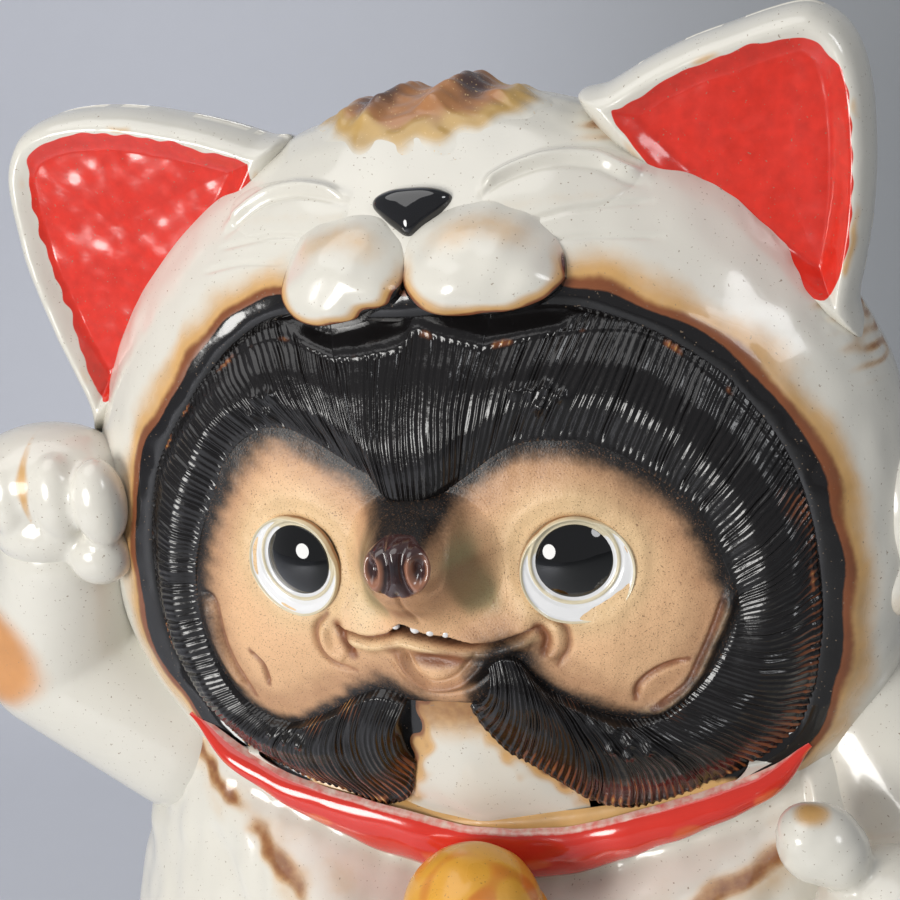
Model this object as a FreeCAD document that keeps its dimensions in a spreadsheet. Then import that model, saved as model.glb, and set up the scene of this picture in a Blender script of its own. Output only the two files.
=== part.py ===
"""Glazed pottery raccoon dog in a cat-shaped hood, as the clay pieces that are moulded and luted together.

Millimetres, +Z up, the statue faces -Y and +X is its own left side. The origin is on the flat rest face,
under the middle of the head. Places on the head are measured from the head's centre.
"""
import FreeCAD, Part
import Sketcher
import math
import os
import re

document = FreeCAD.newDocument("HoodedStatue")
sheet = document.addObject("Spreadsheet::Sheet", "Sizes")

# Driving dimensions: alias, value, what it measures.
DIMENSIONS = [
    ("head_centre_height", 300.0, "rest face to the head's centre"),
    ("head_radius", 100.0, "middle to side and to crown"),
    ("head_front_depth", 50.0, "middle to face"),
    ("head_back_depth", 75.0, "middle to back of the hood"),
    ("head_wall", 7.0, "thickness of the moulded hood"),
    ("neck_hole_radius", 30.0, "way between the two hollows"),
    ("opening_half_width", 80.0, "hood opening round the face"),
    ("opening_half_height", 63.0, "hood opening round the face"),
    ("face_half_width", 64.0, "bare face inside the fur"),
    ("face_half_height", 42.0, "bare face inside the fur"),
    ("face_drop", 6.0, "middle of the face below the head's centre"),
    ("face_recess", 2.5, "face below the hood's surface"),
    ("face_thickness", 6.0, "face plate and throat"),
    ("fur_recess", 0.5, "fur roll below the hood's surface"),
    ("throat_half_width", 27.0, "pale throat"),
    ("throat_half_height", 18.0, "pale throat"),
    ("throat_drop", 48.0, "middle of the throat below the head's centre"),
    ("forelock_half_width", 33.0, "combed hair over the forehead"),
    ("forelock_tip_rise", 21.0, "tip of the hair above the head's centre"),
    ("forelock_relief", 2.0, "hair over the hood's surface"),
    ("eye_spread", 30.0, "middle to eye"),
    ("eye_rise", 9.4, "eye above the head's centre"),
    ("eye_ball_radius", 10.5, "ball that the glazed dome is a cap of"),
    ("eye_sink", 6.2, "ball's centre below the face"),
    ("eye_white_radius", 12.0, "outside of the pale crescent"),
    ("eye_white_gap", 0.4, "crescent to dome"),
    ("eye_white_shift", 1.8, "crescent outward and down"),
    ("eye_white_relief", 1.3, "crescent over the face"),
    ("snout_half_width", 16.0, "snout"),
    ("snout_half_height", 12.5, "snout"),
    ("snout_reach", 17.0, "snout over the face"),
    ("snout_rise", 8.0, "middle of the snout above the head's centre"),
    ("nose_half_width", 8.5, "dark nose"),
    ("nose_half_height", 7.5, "dark nose"),
    ("nose_reach", 7.0, "nose ahead of its own middle"),
    ("nose_rise", 14.0, "nose above the head's centre"),
    ("jaw_half_width", 21.0, "lower jaw with its lip"),
    ("jaw_half_height", 9.5, "lower jaw with its lip"),
    ("jaw_reach", 8.0, "lower jaw over the face"),
    ("jaw_drop", 16.0, "middle of the jaw below the head's centre"),
    ("tooth_radius", 1.9, "each of five teeth"),
    ("tooth_spacing", 4.0, "along the gum"),
    ("tooth_drop", 5.6, "teeth below the head's centre"),
    ("tuft_half_length", 24.0, "whisker tuft beside the chin"),
    ("tuft_half_height", 13.0, "whisker tuft beside the chin"),
    ("tuft_relief", 5.0, "tuft over the fur"),
    ("tuft_spread", 29.0, "middle to tuft"),
    ("tuft_drop", 39.0, "tuft below the head's centre"),
    ("tuft_slope", 4.0, "degrees, outer end up"),
    ("pad_half_width", 16.5, "whisker pad of the hood"),
    ("pad_half_height", 12.5, "whisker pad of the hood"),
    ("pad_reach", 10.0, "pad ahead of its own middle"),
    ("pad_rise", 66.0, "pad above the head's centre"),
    ("cat_nose_half_width", 8.0, "black nose of the hood"),
    ("cat_nose_half_height", 5.5, "black nose of the hood"),
    ("cat_nose_rise", 79.5, "nose above the head's centre"),
    ("brow_half_width", 17.0, "closed eye of the hood, an arc"),
    ("brow_half_height", 9.0, "closed eye of the hood, an arc"),
    ("brow_band", 2.0, "width of the arc"),
    ("brow_relief", 1.4, "arc over the hood"),
    ("brow_spread", 32.0, "middle to arc"),
    ("brow_rise", 78.0, "foot of the arc above the head's centre"),
    ("crest_half_width", 11.0, "each of three locks on the crown"),
    ("crest_half_depth", 16.0, "each of three locks on the crown"),
    ("crest_half_height", 6.0, "each of three locks on the crown"),
    ("crest_spacing", 15.0, "lock to lock"),
    ("ear_half_width", 45.0, "ear where it leaves the head"),
    ("ear_half_depth", 17.0, "ear where it leaves the head"),
    ("ear_foot_reach", 82.0, "head's centre to the ear's foot"),
    ("ear_tip_reach", 141.0, "head's centre to the ear's tip"),
    ("ear_rim", 7.0, "pale rim round the hollow of the ear"),
    ("ear_hollow", 5.0, "depth of the hollow of the ear"),
    ("ear_right_lean", 46.0, "degrees from upright"),
    ("ear_left_lean", 40.0, "degrees from upright"),
    ("ear_forward", 3.0, "ear ahead of the head's middle"),
    ("fold_half_width", 9.0, "fold at the left side of the hood"),
    ("fold_half_height", 18.0, "fold at the left side of the hood"),
    ("collar_drop", 77.0, "lowest line of the collar below the head's centre"),
    ("collar_width", 15.0, "collar at its middle"),
    ("collar_tip_spread", 73.0, "middle to the collar's tip"),
    ("collar_tip_drop", 41.0, "tip below the head's centre"),
    ("collar_relief", 5.0, "collar over the hood's surface"),
    ("bell_radius", 16.0, "bell under the chin"),
    ("bell_shift", 5.0, "bell hangs to the left of the middle"),
    ("bell_drop", 70.0, "bell's middle below the head's centre"),
    ("bell_forward", 57.0, "bell's middle ahead of the head's centre"),
    ("bell_slit_width", 3.0, "slit across the bell"),
    ("bell_band", 1.6, "raised band round the bell"),
    ("body_top", 254.0, "shoulder line above the rest face"),
    ("body_wall", 8.0, "thickness of the moulded body"),
    ("foot_half_width_of_body", 92.0, "body at the rest face"),
    ("belly_half_width", 120.0, "body at its widest"),
    ("shoulder_half_width", 94.0, "body at the shoulder line"),
    ("foot_half_depth_of_body", 70.0, "body at the rest face"),
    ("belly_half_depth", 90.0, "body at its deepest"),
    ("shoulder_half_depth", 47.0, "body at the shoulder line"),
    ("belly_height", 105.0, "widest line above the rest face"),
    ("seat_height", 37.0, "seat line above the rest face"),
    ("seat_half_width", 110.7, "body at the seat line"),
    ("seat_half_depth", 83.3, "body at the seat line"),
    ("chest_height", 179.5, "chest line above the rest face"),
    ("chest_half_width", 114.3, "body at the chest line"),
    ("chest_half_depth", 73.5, "body at the chest line"),
    ("shoulder_back", 9.0, "shoulder line behind the head's middle"),
    ("base_thickness", 8.0, "slab that closes the body below"),
    ("vent_radius", 20.0, "firing hole in the slab"),
    ("vent_back", 34.0, "firing hole behind the middle"),
    ("arm_radius", 22.0, "raised arm at the elbow"),
    ("elbow_spread", 118.0, "middle to the raised elbow"),
    ("elbow_drop", 33.0, "raised elbow below the head's centre"),
    ("wrist_radius", 17.5, "raised wrist"),
    ("wrist_spread", 106.0, "middle to the raised wrist"),
    ("wrist_rise", 0.0, "raised wrist above the head's centre"),
    ("arm_forward", 17.0, "raised forearm ahead of the head's centre"),
    ("arm_root_radius", 26.0, "both arms at the shoulder"),
    ("arm_root_spread", 88.0, "middle to the shoulder"),
    ("arm_root_drop", 56.0, "shoulder below the head's centre"),
    ("paw_radius", 17.0, "paw without its toes"),
    ("toe_radius", 7.0, "each of four toes"),
    ("toe_spacing", 11.0, "toe to toe"),
    ("low_elbow_radius", 25.0, "lowered arm at the elbow"),
    ("low_elbow_spread", 106.0, "middle to the lowered elbow"),
    ("low_elbow_drop", 82.0, "lowered elbow below the head's centre"),
    ("low_paw_spread", 92.0, "middle to the lowered paw"),
    ("low_paw_drop", 76.0, "lowered paw below the head's centre"),
    ("low_paw_forward", 42.0, "lowered paw ahead of the head's centre"),
    ("thumb_radius", 9.5, "thumb of the lowered paw"),
    ("thumb_spread", 77.0, "middle to that thumb"),
    ("thumb_drop", 59.0, "that thumb below the head's centre"),
    ("thumb_forward", 38.0, "that thumb ahead of the head's centre"),
    ("foot_half_width", 31.0, "each foot"),
    ("foot_half_length", 42.0, "each foot"),
    ("foot_half_height", 27.0, "each foot"),
    ("foot_spread", 46.0, "middle to foot"),
    ("foot_forward", 64.0, "foot's middle ahead of the body's"),
    ("foot_rise", 10.0, "foot's middle above the rest face"),
    ("foot_toe_radius", 10.0, "each of three toes"),
    ("tail_half_width", 21.0, "short round tail"),
    ("tail_half_length", 33.0, "short round tail"),
    ("tail_half_height", 24.0, "short round tail"),
    ("tail_rise", 56.0, "tail's middle above the rest face"),
    ("tail_back", 94.0, "tail's middle behind the body's"),
]

# Room for the blocks and prisms that only cut, larger than anything they cut.
CUTTER = 700.0
# Radius on which a sketch's corners lie before their formulas move them.
FIRST_GUESS = 50.0
FRONT = -1
# Where a closed skin's seam is put, in degrees, clear of the pieces that end on the skin.
SEAM_ANGLE = 192
RING_START = 60
RIGHT = -1
LEFT = 1
# The ear's sections, as shares of its length, and how fast it narrows along it.
EAR_SHARES = (0, 0.3, 0.6, 0.85, 0.97)
EAR_FULLNESS = 1.5
EAR_BLUNTNESS = 0.7
SIDES = ((RIGHT, "Right", "right"), (LEFT, "Left", "left"))


def write_sheet():
    """Fill the sheet with plain numbers and name each cell."""
    for row, (alias, value, note) in enumerate(DIMENSIONS, start=1):
        sheet.set(f"A{row}", note)
        sheet.set(f"B{row}", str(value))
        sheet.setAlias(f"B{row}", alias)
    document.recompute()


ALIASES = {alias for alias, value, note in DIMENSIONS}


def of_sheet(formula):
    """Point every alias in a formula at its cell."""
    return re.sub(r"[a-z_]+", lambda word: f"Sizes.{word[0]}" if word[0] in ALIASES else word[0], str(formula))


def bind(thing, **formulas):
    """Bind properties of an object to formulas of the sheet."""
    for prop, formula in formulas.items():
        thing.setExpression(prop, of_sheet(formula))
    return thing


def place(thing, x=0, y=0, z=0):
    """Bind an object's place to formulas of the sheet."""
    thing.setExpression("Placement.Base.x", of_sheet(x))
    thing.setExpression("Placement.Base.y", of_sheet(y))
    thing.setExpression("Placement.Base.z", of_sheet(z))
    return thing


def turn(thing, axis, degrees):
    """Turn an object about an axis, by degrees that the sheet gives."""
    thing.Placement.Rotation = FreeCAD.Rotation(FreeCAD.Vector(*axis), 1.0)
    thing.setExpression("Placement.Rotation.Angle", of_sheet(degrees))
    return thing


def on_head(rise):
    """Give a height above the head's centre as a height above the rest face."""
    return f"head_centre_height + ({rise})"


def face_depth(x, z, under="0"):
    """Give the depth of the head's front at a place on it, some way under the surface."""
    across = f"(({x}) / head_radius) * (({x}) / head_radius)"
    along = f"(({z}) / head_radius) * (({z}) / head_radius)"
    return f"(({under}) - head_front_depth) * sqrt(1 - {across} - {along})"


def ellipsoid(name, width, depth, height, x=0, y=0, z=0):
    """Make a round form from its three half sizes."""
    solid = document.addObject("Part::Ellipsoid", name)
    solid.Angle1 = -90
    solid.Angle2 = 90
    solid.Angle3 = 360
    bind(solid, Radius1=height, Radius2=width, Radius3=depth)
    return place(solid, x, y, z)


def lying_ellipsoid(name, width, depth, height, x=0, y=0, z=0):
    """Make a round form whose poles are at the front and the back, with its seam below."""
    solid = ellipsoid(name, height, width, depth, x, y, z)
    pole_forward = FreeCAD.Rotation(FreeCAD.Vector(1, 0, 0), 90)
    solid.Placement.Rotation = pole_forward.multiply(FreeCAD.Rotation(FreeCAD.Vector(0, 0, 1), -90))
    return solid


def ball(name, radius, x, y, z, axis=(0, 1, 0), tilt=90):
    """Make a ball with its poles at its sides, or tilted clear of what cuts it."""
    solid = document.addObject("Part::Sphere", name)
    bind(solid, Radius=radius)
    solid.Placement.Rotation = FreeCAD.Rotation(FreeCAD.Vector(*axis), tilt)
    return place(solid, x, y, z)


def block(name, x_low, y_low, z_low, x_size, y_size, z_size):
    """Make a cutting block."""
    solid = document.addObject("Part::Box", name)
    bind(solid, Length=x_size, Width=y_size, Height=z_size)
    return place(solid, x_low, y_low, z_low)


def cut(name, base, *tools):
    """Take solids out of another, one after the other."""
    for index, tool in enumerate(tools):
        result = document.addObject("Part::Cut", f"{name}{index}")
        result.Base = base
        result.Tool = tool
        base = result
    return base


def common(name, *solids):
    """Keep what the solids share."""
    result = document.addObject("Part::MultiCommon", name)
    result.Shapes = list(solids)
    return result


def fused(name, base, *solids):
    """Join solids into one, one after the other."""
    for index, solid in enumerate(solids):
        result = document.addObject("Part::Fuse", f"{name}{index}")
        result.Base = base
        result.Tool = solid
        base = result
    return base


def oval(name, width, height, x=0, z=0):
    """Make an upright oval prism that runs through the front of the head, from its half sizes."""
    outline = document.addObject("Part::Ellipse", name + "Outline")
    bind(outline, MajorRadius=width, MinorRadius=height)
    outline.Placement.Rotation = FreeCAD.Rotation(FreeCAD.Vector(1, 0, 0), 90)
    place(outline, x, 0, on_head(z))
    return pulled(name, outline)


def pulled(name, outline):
    """Pull an upright outline forward into a prism."""
    prism = document.addObject("Part::Extrusion", name)
    prism.Base = outline
    prism.DirMode = "Custom"
    prism.Dir = FreeCAD.Vector(0, FRONT, 0)
    prism.LengthFwd = CUTTER
    prism.Solid = True
    return prism


def polygon(name, corners):
    """Make an upright sketch through corners, each held by two formulas from the head's centre."""
    sketch = document.addObject("Sketcher::SketchObject", name)
    sketch.Placement.Rotation = FreeCAD.Rotation(FreeCAD.Vector(1, 0, 0), 90)
    step = 2 * math.pi / len(corners)
    spots = [FreeCAD.Vector(math.cos(step * index), math.sin(step * index), 0) * FIRST_GUESS
             for index in range(len(corners))]
    for index, spot in enumerate(spots):
        sketch.addGeometry(Part.LineSegment(spot, spots[(index + 1) % len(spots)]), False)
    for index, (x, z) in enumerate(corners):
        sketch.addConstraint(Sketcher.Constraint("Coincident", index, 2, (index + 1) % len(corners), 1))
        held = sketch.addConstraint(Sketcher.Constraint("DistanceX", -1, 1, index, 1, spots[index].x))
        sketch.setExpression(f"Constraints[{held}]", of_sheet(x))
        held = sketch.addConstraint(Sketcher.Constraint("DistanceY", -1, 1, index, 1, spots[index].y))
        sketch.setExpression(f"Constraints[{held}]", of_sheet(z))
    return place(sketch, 0, 0, "head_centre_height")


def head_skin(name, under, depth="head_front_depth"):
    """Make the round form of the head's front or back, some way under its surface, or over it if less than 0.

    It is round seen from the front, so its poles are put at the front and the back, and its seam runs out
    from the front pole below the eye, where no other piece ends.
    """
    across = f"head_radius - ({under})"
    solid = ellipsoid(name, across, across, f"{depth} - ({under})", z="head_centre_height")
    pole_forward = FreeCAD.Rotation(FreeCAD.Vector(1, 0, 0), 90)
    solid.Placement.Rotation = pole_forward.multiply(FreeCAD.Rotation(FreeCAD.Vector(0, 0, 1), SEAM_ANGLE))
    return solid


def loft(name, rings):
    """Join rings by a smooth closed skin."""
    skin = document.addObject("Part::Loft", name)
    skin.Sections = rings
    skin.Solid = True
    skin.Ruled = False
    return skin


def ring(name, width, depth, x=0, y=0, z=0, start=0):
    """Make a level oval ring from its half sizes, the wider one across, starting some degrees round it."""
    outline = document.addObject("Part::Ellipse", name)
    bind(outline, MajorRadius=width, MinorRadius=depth)
    outline.Angle1 = start
    outline.Angle2 = start or 360
    return place(outline, x, y, z)


def disc(name, radius, x, y, z, way):
    """Make a round ring of a limb, square to the way that the limb runs there."""
    outline = document.addObject("Part::Circle", name)
    bind(outline, Radius=radius)
    outline.Placement.Rotation = FreeCAD.Rotation(FreeCAD.Vector(0, 0, 1), FreeCAD.Vector(*way))
    return place(outline, x, y, z)


def node(solid, label):
    """Name a finished piece."""
    solid.Label = label
    NODES.append(solid)
    return solid


NODES = []


def halves():
    """Make the two blocks that part the front mouldings from the back ones at the seam."""
    front = block("FrontHalf", -CUTTER / 2, -CUTTER, -CUTTER / 2, CUTTER, CUTTER, 2 * CUTTER)
    back = block("BackHalf", -CUTTER / 2, 0, -CUTTER / 2, CUTTER, CUTTER, 2 * CUTTER)
    return front, back


def head_forms(front, back):
    """Make the whole head, its hollow, and the way down into the body."""
    skin = {}
    for inset, key in (("0", "Outer"), ("head_wall", "Inner")):
        fore = head_skin(f"Head{key}FrontSkin", inset)
        rear = head_skin(f"Head{key}BackSkin", inset, "head_back_depth")
        skin[key] = (fore, common(f"Head{key}Back", rear, back))
    way_down = document.addObject("Part::Cylinder", "NeckHole")
    bind(way_down, Radius="neck_hole_radius", Height="head_radius")
    place(way_down, 0, "shoulder_back", "head_centre_height - head_radius - head_wall")
    front_half = common("HeadFrontHalf", skin["Outer"][0], front)
    return skin["Outer"], skin["Inner"], front_half, way_down


def hood(outer, inner, front_half, way_down):
    """Make the two halves of the hood, the front one open round the face."""
    opening = oval("Opening", "opening_half_width", "opening_half_height", 0, "-1")
    node(cut("HoodFront", front_half, inner[0], opening, way_down), "hood_front")
    node(cut("HoodBack", outer[1], inner[1], way_down), "hood_back")
    return opening


def face(opening):
    """Make the bare face, the roll of fur round it, the pale throat and the combed forelock."""
    floor = head_skin("FaceFloor", "face_recess + face_thickness")
    skin = head_skin("FaceSkin", "face_recess")
    fur_skin = head_skin("FurSkin", "fur_recess")
    face_prism = oval("FacePrism", "face_half_width", "face_half_height", 0, "-face_drop")
    throat_prism = oval("ThroatPrism", "throat_half_width", "throat_half_height", 0, "-throat_drop")
    lock_corners = [("-forelock_half_width", "opening_half_height"), ("forelock_half_width", "opening_half_height"),
                    ("forelock_half_width * 0.45", "face_half_height - face_drop"),
                    ("0", "forelock_tip_rise"), ("-forelock_half_width * 0.45", "face_half_height - face_drop")]
    lock_prism = pulled("ForelockPrism", polygon("ForelockOutline", lock_corners))
    throat_form = common("ThroatForm", throat_prism, opening, skin)
    node(cut("Throat", throat_form, floor), "throat")
    lock_skin = head_skin("ForelockSkin", "-forelock_relief")
    lock_form = common("ForelockForm", lock_prism, opening, lock_skin)
    forelock = node(cut("Forelock", lock_form, floor), "forelock")
    face_form = common("FaceForm", face_prism, opening, skin)
    node(cut("FacePlate", face_form, floor, throat_prism, lock_prism), "face_plate")
    fur_form = common("FurForm", opening, fur_skin)
    fur = cut("FurRoll", fur_form, floor, face_prism, throat_prism, lock_prism)
    for side, key, label in SIDES:
        half = block(f"FurHalf{key}", 0, -CUTTER, 0, CUTTER, CUTTER, CUTTER)
        place(half, (side - 1) * CUTTER / 2, -CUTTER, 0)
        node(common(f"FurRoll{key}", fur, half), f"fur_roll_{label}")
    return skin, fur, forelock


def eyes(ground):
    """Make each eye: a glazed dome, and the pale crescent under and outside it."""
    over = head_skin("CrescentSkin", "face_recess - eye_white_relief")
    for side, key, label in SIDES:
        spread = f"{side} * eye_spread"
        dome = ellipsoid(f"Dome{key}", "eye_ball_radius", "eye_ball_radius", "eye_ball_radius", spread,
                         face_depth("eye_spread", "eye_rise", "face_recess") + " + eye_sink", on_head("eye_rise"))
        node(cut(f"Eye{key}", dome, *ground), f"eye_{label}")
        socket = "sqrt(eye_ball_radius * eye_ball_radius - eye_sink * eye_sink) + eye_white_gap"
        around = oval(f"Around{key}", "eye_white_radius", "eye_white_radius * 0.999",
                      f"{side} * (eye_spread + eye_white_shift)", "eye_rise - eye_white_shift")
        within = oval(f"Within{key}", socket, f"({socket}) * 0.999", spread, "eye_rise")
        raised = common(f"CrescentForm{key}", around, over)
        node(cut(f"Crescent{key}", raised, within, dome, *ground), f"eye_white_{label}")


def mouth(ground):
    """Make the snout with its nose, the jaw under it, and the row of teeth between them."""
    middle = face_depth("0", "snout_rise", "face_recess")
    snout_form = ellipsoid("SnoutForm", "snout_half_width", "snout_reach", "snout_half_height", 0, middle,
                           on_head("snout_rise"))
    node(cut("Snout", snout_form, *ground), "snout")
    nose_y = f"({middle}) - snout_reach + nose_reach * 0.6"
    nose_form = ellipsoid("NoseForm", "nose_half_width", "nose_reach", "nose_half_height", 0, nose_y,
                          on_head("nose_rise"))
    node(cut("Nose", nose_form, snout_form, *ground), "nose")
    jaw_form = ellipsoid("JawForm", "jaw_half_width", "jaw_reach", "jaw_half_height", 0,
                         face_depth("0", "jaw_drop", "face_recess"), on_head("-jaw_drop"))
    node(cut("Jaw", jaw_form, snout_form, *ground), "lower_jaw")
    gum = face_depth("0", "tooth_drop", "face_recess") + " - tooth_radius"
    row = []
    for step in (-2, -1, 0, 1, 2):
        row.append(ball(f"Tooth{step + 2}", "tooth_radius", f"{step} * tooth_spacing", gum, on_head("-tooth_drop")))
    node(cut("Teeth", fused("ToothRow", *row), snout_form, jaw_form, *ground), "teeth")


def tufts(ground):
    """Make the two dark tufts that sweep outward beside the chin."""
    for side, key, label in SIDES:
        form = ellipsoid(f"TuftForm{key}", "tuft_half_length", "tuft_relief + face_recess", "tuft_half_height",
                         f"{side} * tuft_spread", face_depth("tuft_spread", "tuft_drop", "face_recess"),
                         on_head("-tuft_drop"))
        turn(form, (0, -side, 0), "tuft_slope")
        node(cut(f"Tuft{key}", form, *ground), f"chin_tuft_{label}")


def cat_face(ground, outer, leaves):
    """Make the hood's own face: two whisker pads, a black nose and two closed eyes."""
    pads = []
    for side, key, label in SIDES:
        form = ellipsoid(f"PadForm{key}", "pad_half_width", "pad_reach", "pad_half_height",
                         f"{side} * pad_half_width", face_depth("pad_half_width", "pad_rise"), on_head("pad_rise"))
        pads.append(node(cut(f"Pad{key}", form, outer[0], *ground), f"cat_pad_{label}"))
        brow(side, key, label, outer, leaves[side])
    form = ellipsoid("CatNoseForm", "cat_nose_half_width", "cat_nose_half_height", "cat_nose_half_height", 0,
                     face_depth("0", "cat_nose_rise"), on_head("cat_nose_rise"))
    node(cut("CatNose", form, outer[0], *pads), "cat_nose")


def brow(side, key, label, outer, leaf):
    """Make one closed eye of the hood, the upper half of an oval band."""
    spread = f"{side} * brow_spread"
    around = oval(f"BrowAround{key}", "brow_half_width", "brow_half_height", spread, "brow_rise")
    within = oval(f"BrowWithin{key}", "brow_half_width - brow_band", "brow_half_height - brow_band", spread,
                  "brow_rise")
    above = block(f"BrowAbove{key}", f"{spread} - {CUTTER} / 2", -CUTTER, on_head("brow_rise"), CUTTER, CUTTER, CUTTER)
    band = common(f"BrowBand{key}", around, above, head_skin(f"BrowSkin{key}", "-brow_relief"))
    node(cut(f"Brow{key}", band, outer[0], within, leaf), f"cat_closed_eye_{label}")


def crest(outer):
    """Make the three short locks that lie on the crown."""
    locks = []
    for step in (-1, 0, 1):
        locks.append(ellipsoid(f"Lock{step + 1}", "crest_half_width", "crest_half_depth", "crest_half_height",
                               f"{step} * crest_spacing", 0,
                               f"head_centre_height + head_radius - {abs(step)} * crest_half_height / 4"))
    node(cut("Crest", fused("CrestForm", *locks), *outer), "crown_tuft")


def ear(side, key, label, outer):
    """Make one ear: a rounded leaf that thins to its tip, hollowed in front inside its rim."""
    span = "(ear_tip_reach - ear_foot_reach)"
    leaf = []
    bowl = []
    for index, share in enumerate(EAR_SHARES):
        taper = (1 - share ** EAR_FULLNESS) ** EAR_BLUNTNESS
        reach = f"ear_foot_reach + {span} * {share}"
        leaf.append(ring(f"Leaf{key}{index}", f"ear_half_width * {taper:.3f}", f"ear_half_depth * {taper:.3f}",
                         0, 0, reach))
        bowl.append(ring(f"Bowl{key}{index}", f"(ear_half_width - ear_rim) * {taper:.3f}",
                         f"ear_half_depth * {taper:.3f}", 0,
                         f"(ear_hollow - 2 * ear_half_depth) * {taper:.3f}",
                         f"ear_foot_reach + ({span} - ear_rim) * {share}"))
    solid = loft(f"EarLeaf{key}", leaf)
    hollow = loft(f"EarBowl{key}", bowl)
    for part in (solid, hollow):
        place(turn(part, (0, side, 0), f"ear_{label}_lean"), 0, "-ear_forward", "head_centre_height")
    dished = cut(f"EarDished{key}", solid, hollow)
    node(cut(f"Ear{key}", dished, *outer), f"ear_{label}")
    return solid


def collar(outer):
    """Make the collar: a crescent under the throat with its two tips at the sides of the hood.

    Give the prism inside its lower line, above which no other piece stands in front of the head, and the collar.
    """
    around = oval("CollarAround", "collar_tip_spread * 1.11", "(collar_drop - collar_tip_drop) / 0.566", 0,
                  "(collar_drop - collar_tip_drop) / 0.566 - collar_drop")
    top_line = "(collar_drop - collar_width)"
    within = oval("CollarWithin", "collar_tip_spread * 1.28", top_line, 0, "0")
    band = common("CollarBand", around, head_skin("CollarSkin", "-collar_relief"))
    return around, node(cut("Collar", band, within, *outer), "collar")


def body_forms():
    """Make the outside of the body and its hollow, as skins over level ovals."""
    levels = (("foot", "0", "foot_half_width_of_body", "foot_half_depth_of_body", "0"),
              ("seat", "seat_height", "seat_half_width", "seat_half_depth", "0"),
              ("belly", "belly_height", "belly_half_width", "belly_half_depth", "0"),
              ("chest", "chest_height", "chest_half_width", "chest_half_depth", "shoulder_back / 3"),
              ("shoulder", "body_top", "shoulder_half_width", "shoulder_half_depth", "shoulder_back"))
    skins = []
    for key, wall in (("Outer", "0"), ("Inner", "body_wall")):
        rings = [ring(f"Body{key}{name}", f"{width} - {wall}", f"{depth} - {wall}", 0, back, height, RING_START)
                 for name, height, width, depth, back in levels]
        skins.append(loft(f"Body{key}", rings))
    return skins


def body(outer, clear, front, back):
    """Make the two halves of the body, cupped round the head, and the slab with its firing hole."""
    outside, hollow = body_forms()
    shell = cut("BodyShell", outside, hollow, clear, *outer)
    node(common("BodyFront", shell, front), "body_front")
    node(common("BodyBack", shell, back), "body_back")
    slab = block("SlabForm", -CUTTER / 2, -CUTTER / 2, 0, CUTTER, CUTTER, "base_thickness")
    vent = document.addObject("Part::Cylinder", "Vent")
    bind(vent, Radius="vent_radius", Height="3 * base_thickness")
    place(vent, 0, "vent_back", "-base_thickness")
    node(cut("BaseSlab", common("SlabFill", hollow, slab), vent), "base_slab")
    return outside


def bell(outside, band, outer):
    """Make the bell, a ball with a band round it and a slit under the band."""
    spot = ("bell_shift", "-bell_forward", on_head("-bell_drop"))
    globe = ellipsoid("BellBall", "bell_radius", "bell_radius", "bell_radius", *spot)
    hoop = document.addObject("Part::Torus", "BellHoop")
    bind(hoop, Radius1="bell_radius", Radius2="bell_band")
    place(hoop, *spot)
    slit = block("BellSlit", "bell_shift - bell_slit_width / 2", "-bell_forward - 2 * bell_radius",
                 on_head("-bell_drop - bell_radius"), "bell_slit_width", "bell_radius * 1.6",
                 "bell_radius - 2 * bell_band")
    node(cut("Bell", fused("BellForm", globe, hoop), slit, outside, band, *outer), "bell")


def paw(name, x, y, z, forward, up):
    """Make a paw with four toes that curl over its front."""
    palm = ball(name + "Palm", "paw_radius", x, y, z)
    toes = [palm]
    for step in (-1.5, -0.5, 0.5, 1.5):
        toes.append(ball(f"{name}Toe{int(step + 1.5)}", "toe_radius", f"({x}) + {step} * toe_spacing",
                         f"({y}) - paw_radius * {forward}", f"({z}) + paw_radius * {up - 0.1 * abs(step):.2f}"))
    return toes


def right_arm(outside, outer):
    """Make the raised arm and its paw."""
    out_of_shoulder = (-0.9, 0, 0.45)
    up_and_out = (-0.5, -0.1, 0.86)
    up_and_forward = (0.1, -0.15, 1)
    into_the_paw = (0.15, -0.1, 1)
    rings = [disc("RightRoot", "arm_root_radius", "-arm_root_spread", 0, on_head("-arm_root_drop"),
                  out_of_shoulder),
             disc("RightElbow", "arm_radius", "-elbow_spread", "-arm_forward / 2", on_head("-elbow_drop"),
                  up_and_out),
             disc("RightFore", "(arm_radius + wrist_radius) / 2", "-(elbow_spread + wrist_spread) / 2",
                  "-arm_forward", on_head("(wrist_rise - elbow_drop) / 2"), up_and_forward),
             disc("RightWrist", "wrist_radius", "-wrist_spread", "-arm_forward * 1.2", on_head("wrist_rise"),
                  into_the_paw)]
    form = loft("RightArmForm", rings)
    node(cut("RightArm", form, outside, *outer), "arm_right")
    toes = paw("RightPaw", "-wrist_spread", "-arm_forward * 1.4", on_head("wrist_rise + paw_radius"), 0.45, 0.62)
    hand = fused("RightHand", *toes)
    node(cut("RightPaw", hand, form, *outer), "paw_right")


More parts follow.
